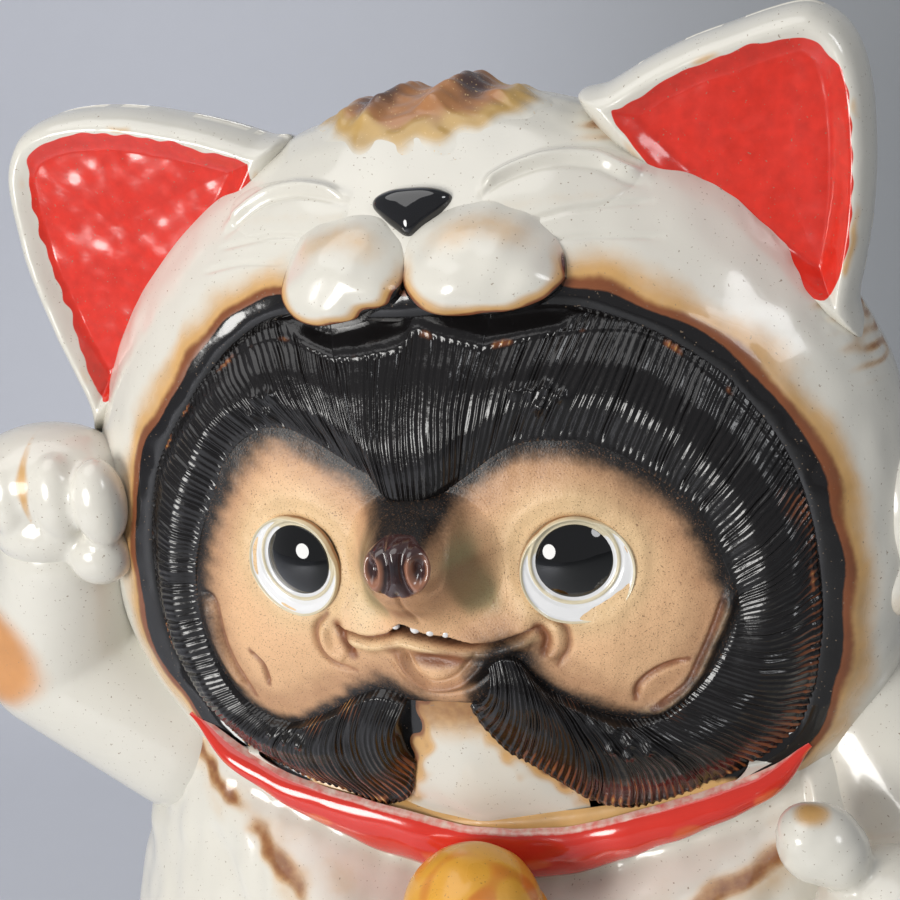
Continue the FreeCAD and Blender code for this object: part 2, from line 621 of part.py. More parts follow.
def left_arm(outside, outer, band):
    """Make the lowered arm, its paw held at the chest, and the thumb above it."""
    up_to_shoulder = (-0.5, 0.1, 0.86)
    up_and_back = (-0.2, 0.65, 0.75)
    back_from_paw = (0.2, 1, -0.05)
    rings = [disc("LeftRoot", "arm_root_radius", "arm_root_spread", "shoulder_back / 2",
                  on_head("-arm_root_drop"), up_to_shoulder),
             disc("LeftElbow", "low_elbow_radius", "low_elbow_spread", "-low_paw_forward / 3",
                  on_head("-low_elbow_drop"), up_and_back),
             disc("LeftWrist", "paw_radius * 0.9", "(low_elbow_spread + low_paw_spread) / 2", "-low_paw_forward",
                  on_head("-low_paw_drop - paw_radius / 4"), back_from_paw)]
    form = loft("LeftArmForm", rings)
    node(cut("LeftArm", form, outside, band, *outer), "arm_left")
    toes = paw("LeftPaw", "low_paw_spread", "-low_paw_forward", on_head("-low_paw_drop"), 0.72, 0.35)
    thumb = ball("LeftThumb", "thumb_radius", "thumb_spread", "-thumb_forward", on_head("-thumb_drop"),
                 (1, 1, 0), 35)
    hand = fused("LeftHand", *toes, thumb)
    node(cut("LeftPaw", hand, form, outside, band, *outer), "paw_left")


def feet(outside):
    """Make the two feet, flat below, each with three toes."""
    above = block("AboveGround", -CUTTER / 2, -CUTTER / 2, 0, CUTTER, CUTTER, CUTTER)
    for side, key, label in SIDES:
        spread = f"{side} * foot_spread"
        forms = [lying_ellipsoid(f"Foot{key}Sole", "foot_half_width", "foot_half_length", "foot_half_height",
                                 spread, "-foot_forward", "foot_rise")]
        for step in (-1, 0, 1):
            forms.append(lying_ellipsoid(f"Foot{key}Toe{step + 1}", "foot_toe_radius", "foot_toe_radius * 1.3",
                                         "foot_toe_radius * 1.3", f"{spread} + {step} * foot_toe_radius * 1.7",
                                         f"-foot_forward - foot_half_length * {0.78 - 0.12 * abs(step):.2f}",
                                         "foot_rise"))
        stood = common(f"Foot{key}Stood", fused(f"Foot{key}Form", *forms), above)
        node(cut(f"Foot{key}", stood, outside), f"foot_{label}")


def tail(outside):
    """Make the short round tail at the back."""
    form = lying_ellipsoid("TailForm", "tail_half_width", "tail_half_length", "tail_half_height", 0, "tail_back",
                           "tail_rise")
    node(cut("Tail", form, outside), "tail")


def side_fold(outer):
    """Make the rounded fold at the left side of the hood."""
    form = ellipsoid("FoldForm", "fold_half_width", "fold_half_height * 0.8", "fold_half_height",
                     "head_radius - fold_half_width / 3", "-fold_half_width / 2", on_head("2"))
    node(cut("SideFold", form, *outer), "hood_side_fold")


def build():
    """Build every piece in the order in which each seats on the ones before it."""
    write_sheet()
    front, back = halves()
    outer, inner, front_half, way_down = head_forms(front, back)
    opening = hood(outer, inner, front_half, way_down)
    ground = face(opening)
    eyes(ground)
    mouth(ground)
    tufts(ground)
    leaves = {side: ear(side, key, label, outer) for side, key, label in SIDES}
    cat_face(ground, outer, leaves)
    crest(outer)
    side_fold(outer)
    clear, band = collar(outer)
    outside = body(outer, clear, front, back)
    bell(outside, band, outer)
    right_arm(outside, outer)
    left_arm(outside, outer, band)
    feet(outside)
    tail(outside)
    document.recompute()


def check_and_write():
    """Refuse a failed object or a bad shape, then write each piece to its own file."""
    for thing in document.Objects:
        if "Invalid" in thing.State or "Error" in thing.State:
            raise RuntimeError(f"{thing.Name} failed: {thing.State}")
    os.makedirs("parts", exist_ok=True)
    for piece in NODES:
        shape = piece.Shape
        if shape.isNull() or not shape.isValid() or not shape.Solids:
            raise RuntimeError(f"{piece.Label} has no valid solid")
        shape.exportStep(f"parts/{piece.Label}.step")
        print(f"{piece.Label}: {len(shape.Solids)} solid, {shape.Volume / 1000:.1f} cm3")


build()
check_and_write()
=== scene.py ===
"""Looks of a glazed pottery raccoon dog in a cat-shaped hood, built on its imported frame.

Shapes are worked out in millimetres. On the head, places are (x, z) from the head's centre as seen from the
front, and a rise is a height over the round form of the head. Meshes are written in metres.
"""

from __future__ import annotations

import logging
import math
from dataclasses import dataclass, field
from enum import Enum
from typing import Sequence
import bmesh
import bpy
import numpy as np
from mathutils import Matrix, Vector


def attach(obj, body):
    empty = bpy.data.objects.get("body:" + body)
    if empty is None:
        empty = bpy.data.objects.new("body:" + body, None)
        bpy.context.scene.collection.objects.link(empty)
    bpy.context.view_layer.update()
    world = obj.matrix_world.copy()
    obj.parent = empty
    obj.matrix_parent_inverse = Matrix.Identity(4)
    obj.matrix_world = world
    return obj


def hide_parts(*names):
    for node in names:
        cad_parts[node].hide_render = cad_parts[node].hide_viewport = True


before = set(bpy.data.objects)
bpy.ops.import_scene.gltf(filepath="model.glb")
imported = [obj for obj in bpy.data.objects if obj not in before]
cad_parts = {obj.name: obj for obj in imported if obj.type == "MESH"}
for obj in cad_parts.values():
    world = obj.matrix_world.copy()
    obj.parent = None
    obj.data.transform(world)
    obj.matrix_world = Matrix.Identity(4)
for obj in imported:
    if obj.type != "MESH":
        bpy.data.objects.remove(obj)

LOG = logging.getLogger("hooded_statue")
Array = np.ndarray
Spot = tuple[float, float]
Colour = tuple[float, float, float]
MM = 0.001
HEAD_HEIGHT = 300.0


class Side(Enum):
    """The statue's own right and left, with the sign of x there."""

    RIGHT = -1
    LEFT = 1

    @property
    def label(self) -> str:
        """Name the side as the frame's nodes do."""
        return self.name.lower()


# ---------------------------------------------------------------- shape helpers


def smooth_step(low: float, high: float, value: Array) -> Array:
    """Ease from 0 to 1 while a value goes from low to high.

    Args:
        low: value at which the result leaves 0.
        high: value at which the result reaches 1.
        value: values to ease.

    Returns:
        Shares from 0 to 1.
    """
    share = np.clip((np.asarray(value, float) - low) / (high - low), 0.0, 1.0)
    return share * share * (3.0 - 2.0 * share)


def spots_at(x: object, y: object, z: object) -> Array:
    """Join places across, along and up into points."""
    return np.stack(np.broadcast_arrays(x, y, z), -1).astype(float)


def curve_through(spots: Sequence[Sequence[float]], count: int, closed: bool = False) -> Array:
    """Lay a smooth line through spots.

    Args:
        spots: places that the line passes, in order.
        count: number of points to give back, evenly spaced along the spots.
        closed: whether the line returns to its first spot.

    Returns:
        An array of count points.
    """
    knots = np.asarray(spots, float)
    if closed:
        knots = np.vstack([knots[-1], knots, knots[0], knots[1]])
    else:
        knots = np.vstack([2 * knots[0] - knots[1], knots, 2 * knots[-1] - knots[-2]])
    spans = len(knots) - 3
    where = np.linspace(0, spans, count, endpoint=not closed)
    index = np.minimum(where.astype(int), spans - 1)
    share = (where - index)[:, None]
    before, start, end, after = (knots[index + step] for step in range(4))
    return 0.5 * (2 * start + (end - before) * share + (2 * before - 5 * start + 4 * end - after) * share**2
                  + (3 * start - before - 3 * end + after) * share**3)


def evenly(line: Array, count: int) -> Array:
    """Space a line's points evenly along its length.

    Args:
        line: points of the line.
        count: number of points to give back.

    Returns:
        An array of count points.
    """
    length = np.concatenate([[0], np.cumsum(np.linalg.norm(np.diff(line, axis=0), axis=1))])
    where = np.linspace(0, length[-1], count)
    return np.stack([np.interp(where, length, line[:, axis]) for axis in range(line.shape[1])], -1)


def line_distance(spots: Sequence[Spot], x: Array, z: Array, closed: bool = False) -> tuple[Array, Array]:
    """Measure how far places are from a smooth line.

    Args:
        spots: places that the line passes.
        x: places across.
        z: places up.
        closed: whether the line returns to its start.

    Returns:
        The distance, and the share of the line's length at the nearest point.
    """
    line = curve_through(spots, 10 * len(spots), closed)
    if closed:
        line = np.vstack([line, line[:1]])
    best = np.full(np.shape(x), 1e9)
    share = np.zeros(np.shape(x))
    for index in range(len(line) - 1):
        ax, az = line[index]
        dx, dz = line[index + 1] - line[index]
        along = np.clip(((x - ax) * dx + (z - az) * dz) / (dx * dx + dz * dz + 1e-12), 0, 1)
        gap = np.hypot(x - ax - along * dx, z - az - along * dz)
        nearer = gap < best
        best = np.where(nearer, gap, best)
        share = np.where(nearer, (index + along) / (len(line) - 1), share)
    return best, share


def outside_of(spots: Sequence[Spot], x: Array, z: Array) -> Array:
    """Measure how far places are outside a closed smooth line.

    Args:
        spots: places that the line passes.
        x: places across.
        z: places up.

    Returns:
        The distance, less than 0 inside the line.
    """
    gap, _ = line_distance(spots, x, z, closed=True)
    line = curve_through(spots, 10 * len(spots), closed=True)
    within = np.zeros(np.shape(x), bool)
    for (ax, az), (bx, bz) in zip(line, np.roll(line, -1, axis=0)):
        crosses = (az > z) != (bz > z)
        within ^= crosses & (x < (bx - ax) * (z - az) / (bz - az + 1e-12) + ax)
    return np.where(within, -gap, gap)


def ridge(spots: Sequence[Spot], x: Array, z: Array, half_width: float, height: float) -> Array:
    """Raise a soft ridge along a line, or press a groove if the height is less than 0.

    Args:
        spots: places that the ridge passes.
        x: places across.
        z: places up.
        half_width: distance at which the ridge has sunk to a third.
        height: rise at the line.

    Returns:
        The rise that the ridge adds.
    """
    gap, share = line_distance(spots, x, z)
    ends = smooth_step(0, 0.12, share) * smooth_step(0, 0.12, 1 - share)
    return height * hump(gap, half_width) * (0.25 + 0.75 * ends)


def angles_round(count: int) -> Array:
    """Give a column of angles, evenly all round."""
    return np.linspace(0, 2 * math.pi, count, endpoint=False)[:, None]


def distance(spot: Spot, x: Array, z: Array) -> Array:
    """Measure how far places are from a spot."""
    return np.hypot(x - spot[0], z - spot[1])


def hump(value: Array, width: float, middle: float = 0.0) -> Array:
    """Give a soft hump, 1 where a value is at the middle and a third at the width from it."""
    return np.exp(-((value - middle) / width) ** 2)


def bulge(x: Array, z: Array, spot: Spot, across: float, up: float, height: float) -> Array:
    """Raise a soft round bulge.

    Args:
        x: places across.
        z: places up.
        spot: middle of the bulge.
        across: width at which it has sunk to a third.
        up: the same, upward.
        height: rise at the middle.

    Returns:
        The rise that the bulge adds.
    """
    return height * np.exp(-((x - spot[0]) / across) ** 2 - ((z - spot[1]) / up) ** 2)


def unevenness(points: Array, size: float, seed: int) -> Array:
    """Give the soft unevenness of hand-worked clay, the same for the same place.

    Args:
        points: places in millimetres.
        size: rough distance from one swelling to the next.
        seed: choice of the pattern.

    Returns:
        Values from about -1 to 1.
    """
    chance = np.random.default_rng(seed)
    total = np.zeros(points.shape[:-1])
    for _ in range(7):
        way = chance.normal(size=3)
        way *= 2 * math.pi / size / np.linalg.norm(way) * chance.uniform(0.7, 1.4)
        total += np.cos(points @ way + chance.uniform(0, 2 * math.pi))
    return total / 3.5


# ---------------------------------------------------------------- glazes and clay, with some painted shade and highlights


@dataclass(frozen=True)
class Layer:
    """One glaze, stain, painted shade or painted highlight that lies over the ones before it, where a mask of the mesh
    says.
    """

    mask: str
    colour: Colour
    low: float
    high: float
    mottle: float = 0.2
    grain: float = 300.0
    roughness: float = 0.3


@dataclass(frozen=True)
class Finish:
    """A glazed or bare surface: its ground, its layers, its speckle and its gloss."""

    name: str
    colour: Colour
    roughness: float
    coat: float = 0.0
    layers: tuple[Layer, ...] = ()
    drift: float = 0.06
    speckle: Colour = (0.2, 0.12, 0.07)
    speckle_share: float = 0.0
    speckle_grain: float = 1500.0
    bump: float = 0.1
    bump_grain: float = 250.0
    ripple: float = 0.0

    def material(self) -> bpy.types.Material:
        """Make the finish's material, once.

        Returns:
            The node material.
        """
        made = bpy.data.materials.get(f"{self.name}_look")
        if made:
            return made
        made = bpy.data.materials.new(f"{self.name}_look")
        made.use_nodes = True
        made.diffuse_color = (*self.colour, 1.0)
        graph = Graph(made)
        colour = graph.mix(graph.noise(60.0, 3.0), tuple(c * (1 - self.drift) for c in self.colour),
                           tuple(min(1.0, c * (1 + self.drift)) for c in self.colour))
        rough = graph.value_mix(graph.noise(140.0, 2.0), self.roughness * 0.85, self.roughness * 1.15)
        for layer in self.layers:
            edge = graph.maths("MULTIPLY_ADD", graph.noise(layer.grain, 4.0), layer.mottle, graph.mask(layer.mask))
            share = graph.ramp(edge, layer.low + layer.mottle / 2, layer.high + layer.mottle / 2)
            tint = graph.mix(graph.noise(layer.grain * 0.4, 3.0), tuple(c * 0.75 for c in layer.colour),
                             tuple(min(1.0, c * 1.25) for c in layer.colour))
            colour = graph.mix(share, colour, tint)
            rough = graph.value_mix(share, rough, layer.roughness)
        if self.speckle_share:
            start = 0.70 - self.speckle_share
            dots = graph.ramp(graph.noise(self.speckle_grain, 1.0), start, start + 0.06)
            weak = graph.maths("MULTIPLY", dots, 0.75)
            colour = graph.mix(weak, colour, self.speckle)
        graph.link(colour, "Base Color")
        graph.link(rough, "Roughness")
        graph.shader.inputs["Coat Weight"].default_value = self.coat
        graph.shader.inputs["Coat Roughness"].default_value = 0.04
        graph.shader.inputs["Specular IOR Level"].default_value = 0.5
        graph.bump(self.bump, self.bump_grain, self.ripple)
        return made


class Graph:
    """Writes the nodes of one material."""

    def __init__(self, material: bpy.types.Material) -> None:
        """Start from the material's own shader.

        Args:
            material: material to write.
        """
        self.tree = material.node_tree
        self.shader = next(node for node in self.tree.nodes if node.type == "BSDF_PRINCIPLED")
        self.place = self.tree.nodes.new("ShaderNodeTexCoord").outputs["Object"]

    def put(self, socket: bpy.types.NodeSocket, value: object) -> None:
        """Give a socket a link, a number or a colour.

        Args:
            socket: input to set.
            value: output to link, or a plain value.
        """
        if isinstance(value, bpy.types.NodeSocket):
            self.tree.links.new(value, socket)
        elif isinstance(value, tuple):
            socket.default_value = (*value, 1.0)
        else:
            socket.default_value = value

    def link(self, value: object, name: str) -> None:
        """Give one of the shader's inputs a value."""
        self.put(self.shader.inputs[name], value)

    def noise(self, scale: float, detail: float) -> bpy.types.NodeSocket:
        """Add a cloudy pattern.

        Args:
            scale: swellings to a metre.
            detail: finer patterns laid on it.

        Returns:
            Its output.
        """
        node = self.tree.nodes.new("ShaderNodeTexNoise")
        node.inputs["Scale"].default_value = scale
        node.inputs["Detail"].default_value = detail
        self.tree.links.new(self.place, node.inputs["Vector"])
        return node.outputs["Fac"]

    def mask(self, name: str) -> bpy.types.NodeSocket:
        """Read a mask of the mesh.

        Args:
            name: the mask's name.

        Returns:
            Its output.
        """
        node = self.tree.nodes.new("ShaderNodeAttribute")
        node.attribute_name = name
        return node.outputs["Fac"]

    def maths(self, kind: str, *values: object) -> bpy.types.NodeSocket:
        """Add a sum of up to three values.

        Args:
            kind: Blender's name of the sum.
            values: links or numbers.

        Returns:
            Its output.
        """
        node = self.tree.nodes.new("ShaderNodeMath")
        node.operation = kind
        for socket, value in zip(node.inputs, values):
            self.put(socket, value)
        return node.outputs[0]

    def ramp(self, value: object, low: float, high: float) -> bpy.types.NodeSocket:
        """Ease a value from 0 at low to 1 at high.

        Args:
            value: link to ease.
            low: value at 0.
            high: value at 1.

        Returns:
            Its output.
        """
        node = self.tree.nodes.new("ShaderNodeMapRange")
        node.interpolation_type = "SMOOTHSTEP"
        self.put(node.inputs["Value"], value)
        if low < high:
            node.inputs["From Min"].default_value, node.inputs["From Max"].default_value = low, high
        else:
            node.inputs["From Min"].default_value, node.inputs["From Max"].default_value = high, low
            node.inputs["To Min"].default_value, node.inputs["To Max"].default_value = 1.0, 0.0
        return node.outputs["Result"]

    def mix(self, share: object, first: object, second: object) -> bpy.types.NodeSocket:
        """Mix two colours.

        Args:
            share: how much of the second shows.
            first: colour or link.
            second: colour or link.

        Returns:
            The mixed colour.
        """
        node = self.tree.nodes.new("ShaderNodeMix")
        node.data_type = "RGBA"
        self.put(node.inputs[0], share)
        self.put(node.inputs[6], first)
        self.put(node.inputs[7], second)
        return node.outputs[2]

    def value_mix(self, share: object, first: object, second: object) -> bpy.types.NodeSocket:
        """Mix two numbers.

        Args:
            share: how much of the second shows.
            first: number or link.
            second: number or link.

        Returns:
            The mixed number.
        """
        node = self.tree.nodes.new("ShaderNodeMix")
        node.data_type = "FLOAT"
        self.put(node.inputs[0], share)
        self.put(node.inputs[2], first)
        self.put(node.inputs[3], second)
        return node.outputs[0]

    def bump(self, strength: float, grain: float, ripple: float) -> None:
        """Roughen the shader's surface a little.

        Args:
            strength: of the fine grain.
            grain: its swellings to a metre.
            ripple: strength of the wide unevenness of thick glaze.
        """
        height = self.noise(grain, 3.0)
        if ripple:
            height = self.maths("MULTIPLY_ADD", self.noise(grain * 0.2, 2.0), ripple / max(strength, 0.01), height)
        node = self.tree.nodes.new("ShaderNodeBump")
        node.inputs["Strength"].default_value = strength
        node.inputs["Distance"].default_value = 0.001
        self.put(node.inputs["Height"], height)
        self.tree.links.new(node.outputs["Normal"], self.shader.inputs["Normal"])


SOOT = (0.007, 0.006, 0.006)
RUST = (0.21, 0.065, 0.022)
GOLD = (0.55, 0.30, 0.09)
CREAM = (0.74, 0.70, 0.60)
WHITE = (0.70, 0.675, 0.60)
RED = (0.66, 0.032, 0.018)

HOOD_GLAZE = Finish("white_glaze", WHITE, 0.2, 0.35, (
    Layer("gold", (0.62, 0.36, 0.13), 0.1, 1.0, 0.25, 350.0, 0.3),
    Layer("rust", RUST, 0.3, 0.9, 0.3, 500.0, 0.3),
    Layer("orange", (0.60, 0.27, 0.085), 0.15, 1.0, 0.15, 200.0, 0.35),
    Layer("soot", SOOT, 0.35, 0.6, 0.25, 500.0, 0.12),
    Layer("red", RED, 0.25, 0.45, 0.12, 900.0, 0.16),
), drift=0.04, speckle=(0.25, 0.18, 0.12), speckle_share=-0.012, speckle_grain=1500.0, bump=0.10, bump_grain=170.0,
    ripple=0.12)
FACE_CLAY = Finish("tan_bisque", (0.75, 0.46, 0.25), 0.5, 0.0, (
    # Yellowish tone, with painted highlight on the left cheek roll's crest and the lower lip.
    Layer("pale", (0.74, 0.53, 0.29), 0.1, 1.0, 0.3, 200.0, 0.4),
    # Painted shade on the snout's sides.
    Layer("olive", (0.27, 0.22, 0.11), 0.15, 0.9, 0.3, 200.0, 0.3),
    # Brown stain, partly painted shade in the creases, the mouth, the tooth slot and under the nose and chin.
    Layer("rust", (0.25, 0.095, 0.042), 0.05, 1.0, 0.2, 300.0, 0.35),
    Layer("cream", CREAM, 0.35, 0.65, 0.3, 250.0, 0.16),
    # Black glaze toward the fur, with painted shadow under the forelock and painted shade in the tooth slot.
    Layer("soot", SOOT, 0.1, 0.9, 0.3, 1200.0, 0.42),
), drift=0.07, speckle=(0.22, 0.11, 0.055), speckle_share=0.075, speckle_grain=3300.0, bump=0.2, bump_grain=2200.0)
FUR_GLAZE = Finish("black_fur_glaze", SOOT, 0.2, 0.05, (
    # Rust glaze on the ridges; at the fur's outer end it and the gold carry a painted highlight.
    Layer("rust", RUST, 0.35, 1.0, 0.4, 400.0, 0.22),
    Layer("gold", GOLD, 0.45, 1.0, 0.3, 400.0, 0.25),
    Layer("tan", (0.50, 0.27, 0.13), 0.15, 0.9, 0.35, 1200.0, 0.5),
    Layer("cream", CREAM, 0.4, 0.6, 0.3, 250.0, 0.16),
), drift=0.3, bump=0.15, bump_grain=500.0)
EYE_GLAZE = Finish("eye_glaze", (0.002, 0.002, 0.002), 0.03, 0.6, drift=0.2, bump=0.01, bump_grain=80.0)
NOSE_GLAZE = Finish("black_nose_glaze", (0.005, 0.005, 0.006), 0.07, 0.8, (
    Layer("plum", (0.060, 0.026, 0.024), 0.3, 0.9, 0.3, 300.0, 0.14),
    Layer("tan", (0.30, 0.13, 0.075), 0.25, 0.9, 0.3, 300.0, 0.25),
), drift=0.2, bump=0.04, bump_grain=120.0)
EYE_WHITE = Finish("bright_white_glaze", (0.80, 0.80, 0.80), 0.14, 0.6, (
    Layer("cream", (0.68, 0.60, 0.42), 0.3, 0.7, 0.2, 400.0, 0.25),
    Layer("line", (0.30, 0.15, 0.06), 0.3, 0.7, 0.2, 400.0, 0.3),
), drift=0.02, bump=0.03, bump_grain=150.0)
RED_GLAZE = Finish("red_glaze", RED, 0.16, 0.6, (
    Layer("orange", (0.72, 0.11, 0.03), 0.45, 0.9, 0.5, 110.0, 0.2),
    Layer("cream", CREAM, 0.4, 0.6, 0.2, 500.0, 0.2),
), drift=0.12, bump=0.08, bump_grain=140.0, ripple=0.2)
BELL_GLAZE = Finish("yellow_glaze", (0.72, 0.36, 0.045), 0.28, 0.3, (
    Layer("orange", (0.62, 0.20, 0.03), 0.4, 1.0, 0.6, 90.0, 0.3),
), drift=0.25, speckle=(0.35, 0.15, 0.03), speckle_share=0.01, bump=0.15, bump_grain=180.0)
AMBER_GLAZE = Finish("amber_glaze", (0.42, 0.19, 0.075), 0.3, 0.25, (
    Layer("gold", (0.52, 0.33, 0.11), 0.2, 0.8, 0.3, 300.0, 0.3),
    Layer("soot", (0.085, 0.05, 0.045), 0.2, 0.9, 0.3, 300.0, 0.25),
    Layer("cream", WHITE, 0.1, 1.0, 0.15, 300.0, 0.22),
), drift=0.2, speckle=(0.7, 0.5, 0.25), speckle_share=0.02, bump=0.15, bump_grain=200.0)
BARE_CLAY = Finish("bare_clay", (0.42, 0.30, 0.20), 0.8, 0.0, drift=0.15, speckle=(0.2, 0.13, 0.08),
                   speckle_share=0.05, bump=0.4, bump_grain=900.0)


# ---------------------------------------------------------------- meshes


@dataclass
class Sheet:
    """A grid of points in millimetres, in the object's frame, with its masks."""

    points: Array
    masks: dict[str, Array] = field(default_factory=dict)
    closed: bool = False
    keep: Array | None = None

    def faces(self, start: int) -> Array:
        """List the sheet's four-cornered faces.

        Args:
            start: number of the sheet's first point.

        Returns:
            Corner numbers, four to a face.
        """
        rows, columns = self.points.shape[:2]
        row = np.arange(rows if self.closed else rows - 1)
        column = np.arange(columns - 1)
        here, along = np.meshgrid(row, column, indexing="ij")
        there = (here + 1) % rows
        corners = np.stack([here * columns + along, there * columns + along, there * columns + along + 1,
                            here * columns + along + 1], -1).reshape(-1, 4)
        if self.keep is not None:
            kept = self.keep.reshape(-1)[corners].all(axis=1)
            corners = corners[kept]
        return corners + start


@dataclass
class Piece:
    """A visible piece of the statue, which stands for the frame's node of the same name."""

    name: str
    finish: Finish

    def from_sheets(self, sheets: Sequence[Sheet]) -> bpy.types.Object:
        """Write the piece as one mesh.

        Args:
            sheets: grids that make it up.

        Returns:
            The new object.
        """
        points = np.concatenate([sheet.points.reshape(-1, 3) for sheet in sheets]) * MM
        starts = np.cumsum([0] + [sheet.points.shape[0] * sheet.points.shape[1] for sheet in sheets])
        corners = np.concatenate([sheet.faces(start) for sheet, start in zip(sheets, starts)])
        mesh = bpy.data.meshes.new(self.name)
        mesh.vertices.add(len(points))
        mesh.vertices.foreach_set("co", points.ravel())
        mesh.loops.add(corners.size)
        mesh.loops.foreach_set("vertex_index", corners.ravel())
        mesh.polygons.add(len(corners))
        mesh.polygons.foreach_set("loop_start", np.arange(0, corners.size, 4))
        mesh.update(calc_edges=True)
        mesh.validate()
        names = sorted({name for sheet in sheets for name in sheet.masks})
        for name in names:
            values = [np.broadcast_to(sheet.masks.get(name, 0.0), sheet.points.shape[:2]).reshape(-1)
                      for sheet in sheets]
            self.write_mask(mesh, name, np.concatenate(values))
        return self.finished(mesh)

    @staticmethod
    def write_mask(mesh: bpy.types.Mesh, name: str, values: Array) -> None:
        """Keep a mask on a mesh's points.

        Args:
            mesh: mesh to write to.
            name: the mask's name.
            values: a value for each point.
        """
        kept = mesh.attributes.new(name, "FLOAT", "POINT")
        kept.data.foreach_set("value", np.asarray(values, np.float32))

    def finished(self, mesh: bpy.types.Mesh) -> bpy.types.Object:
        """Glaze a mesh and put it on the frame.

        Args:
            mesh: the piece's mesh.

        Returns:
            The new object.
        """
        mesh.polygons.foreach_set("use_smooth", np.ones(len(mesh.polygons), bool))
        mesh.materials.append(self.finish.material())
        made = bpy.data.objects.new(self.name, mesh)
        bpy.context.scene.collection.objects.link(made)
        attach(made, "root")
        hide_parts(self.name)
        LOG.info("%s: %d faces", self.name, len(mesh.polygons))
        return made

    def from_blobs(self, blobs: Sequence[Blob], voxel: float, masks: dict | None = None) -> bpy.types.Object:
        """Melt round forms together into one skin.

        Args:
            blobs: round forms in millimetres, in the object's frame.
            voxel: size of the skin's faces, in millimetres.
            masks: for each mask a function of the points, in millimetres.

        Returns:
            The new object.
        """
        work = bmesh.new()
        for blob in blobs:
            bmesh.ops.create_uvsphere(work, u_segments=40, v_segments=24, radius=1.0, matrix=blob.matrix())
        rough = bpy.data.meshes.new(self.name + "_rough")
        work.to_mesh(rough)
        work.free()
        holder = bpy.data.objects.new(self.name + "_rough", rough)
        bpy.context.scene.collection.objects.link(holder)
        remesh = holder.modifiers.new("melt", "REMESH")
        remesh.mode = "VOXEL"
        remesh.voxel_size = voxel * MM
        soften = holder.modifiers.new("soften", "SMOOTH")
        soften.factor = 0.5
        soften.iterations = 8
        seen = holder.evaluated_get(bpy.context.evaluated_depsgraph_get())
        mesh = bpy.data.meshes.new_from_object(seen)
        mesh.name = self.name
        bpy.data.objects.remove(holder)
        bpy.data.meshes.remove(rough)
        points = np.empty(len(mesh.vertices) * 3)
        mesh.vertices.foreach_get("co", points)
        points = points.reshape(-1, 3) / MM
        for name, painted in (masks or {}).items():
            self.write_mask(mesh, name, painted(points))
        return self.finished(mesh)


@dataclass(frozen=True)
class Blob:
    """A round form with three half sizes, turned about the three axes."""

    middle: tuple[float, float, float]
    size: tuple[float, float, float]
    turned: tuple[float, float, float] = (0.0, 0.0, 0.0)

    def matrix(self) -> Matrix:
        """Give the form's place and size in metres.

        Returns:
            The matrix that makes the form from a ball of radius 1.
        """
        turn = Matrix.Identity(4)
        for axis, degrees in zip("XYZ", self.turned):
            turn = Matrix.Rotation(math.radians(degrees), 4, axis) @ turn
        size = Matrix.Diagonal((*[half * MM for half in self.size], 1.0))
        return Matrix.Translation(Vector(self.middle) * MM) @ turn @ size


# ---------------------------------------------------------------- the head's round form


@dataclass(frozen=True)
class HeadForm:
    """The round form that the hood, the fur and the face all lie on."""

    radius: float = 100.0
    front: float = 50.0
    back: float = 75.0

    def front_at(self, x: Array, z: Array, rise: Array | float = 0.0) -> Array:
        """Find points on or over the front.

        Args:
            x: places across.
            z: places up from the head's centre.
            rise: heights over the form.

        Returns:
            Points in the object's frame.
        """
        x, z = np.broadcast_arrays(np.asarray(x, float), np.asarray(z, float))
        inner = np.sqrt(np.maximum(1 - (x * x + z * z) / self.radius**2, 1e-4))
        y = -self.front * inner
        way = spots_at(x / self.radius**2, y / self.front**2, z / self.radius**2)
        way /= np.linalg.norm(way, axis=-1, keepdims=True)
        return spots_at(x, y, z + HEAD_HEIGHT) + way * np.asarray(rise)[..., None]

    def skin_at(self, turn: Array, tilt: Array) -> tuple[Array, Array]:
        """Find points on the whole form by angles.

        Args:
            turn: angle about the line from back to front, from the statue's left.
            tilt: angle from the front pole, up to half a turn at the back pole.

        Returns:
            Points in the object's frame, and the outward way at each.
        """
        depth = np.where(tilt < math.pi / 2, self.front, self.back)
        x = self.radius * np.sin(tilt) * np.cos(turn)
        z = self.radius * np.sin(tilt) * np.sin(turn)
        y = -depth * np.cos(tilt)
        way = spots_at(x / self.radius**2, y / depth**2, z / self.radius**2)
        way /= np.linalg.norm(way, axis=-1, keepdims=True)
        return spots_at(x, y, z + HEAD_HEIGHT), way


HEAD = HeadForm()

# The hood's lip round the opening, clockwise from the top as seen from the front.
LIP: tuple[Spot, ...] = (
    (0, 62), (17, 62.5), (34, 61.8), (50, 55.2), (64, 44.6), (76, 27.4), (81.2, 10.3), (82.7, -7.9), (81.3, -22.9),
    (78.8, -34.4), (74, -43.5), (64, -50), (50, -55), (27, -60.5), (0, -63), (-20, -60), (-37, -55), (-56.7, -50.3),
    (-66, -44.6), (-72, -36.6), (-77, -27.9), (-79, -18), (-78.7, -8.7), (-78, 1.8), (-75.8, 12.2), (-69.5, 28.7),
    (-57.5, 44.8), (-45.5, 56.6), (-32.6, 63), (-17, 62.5))

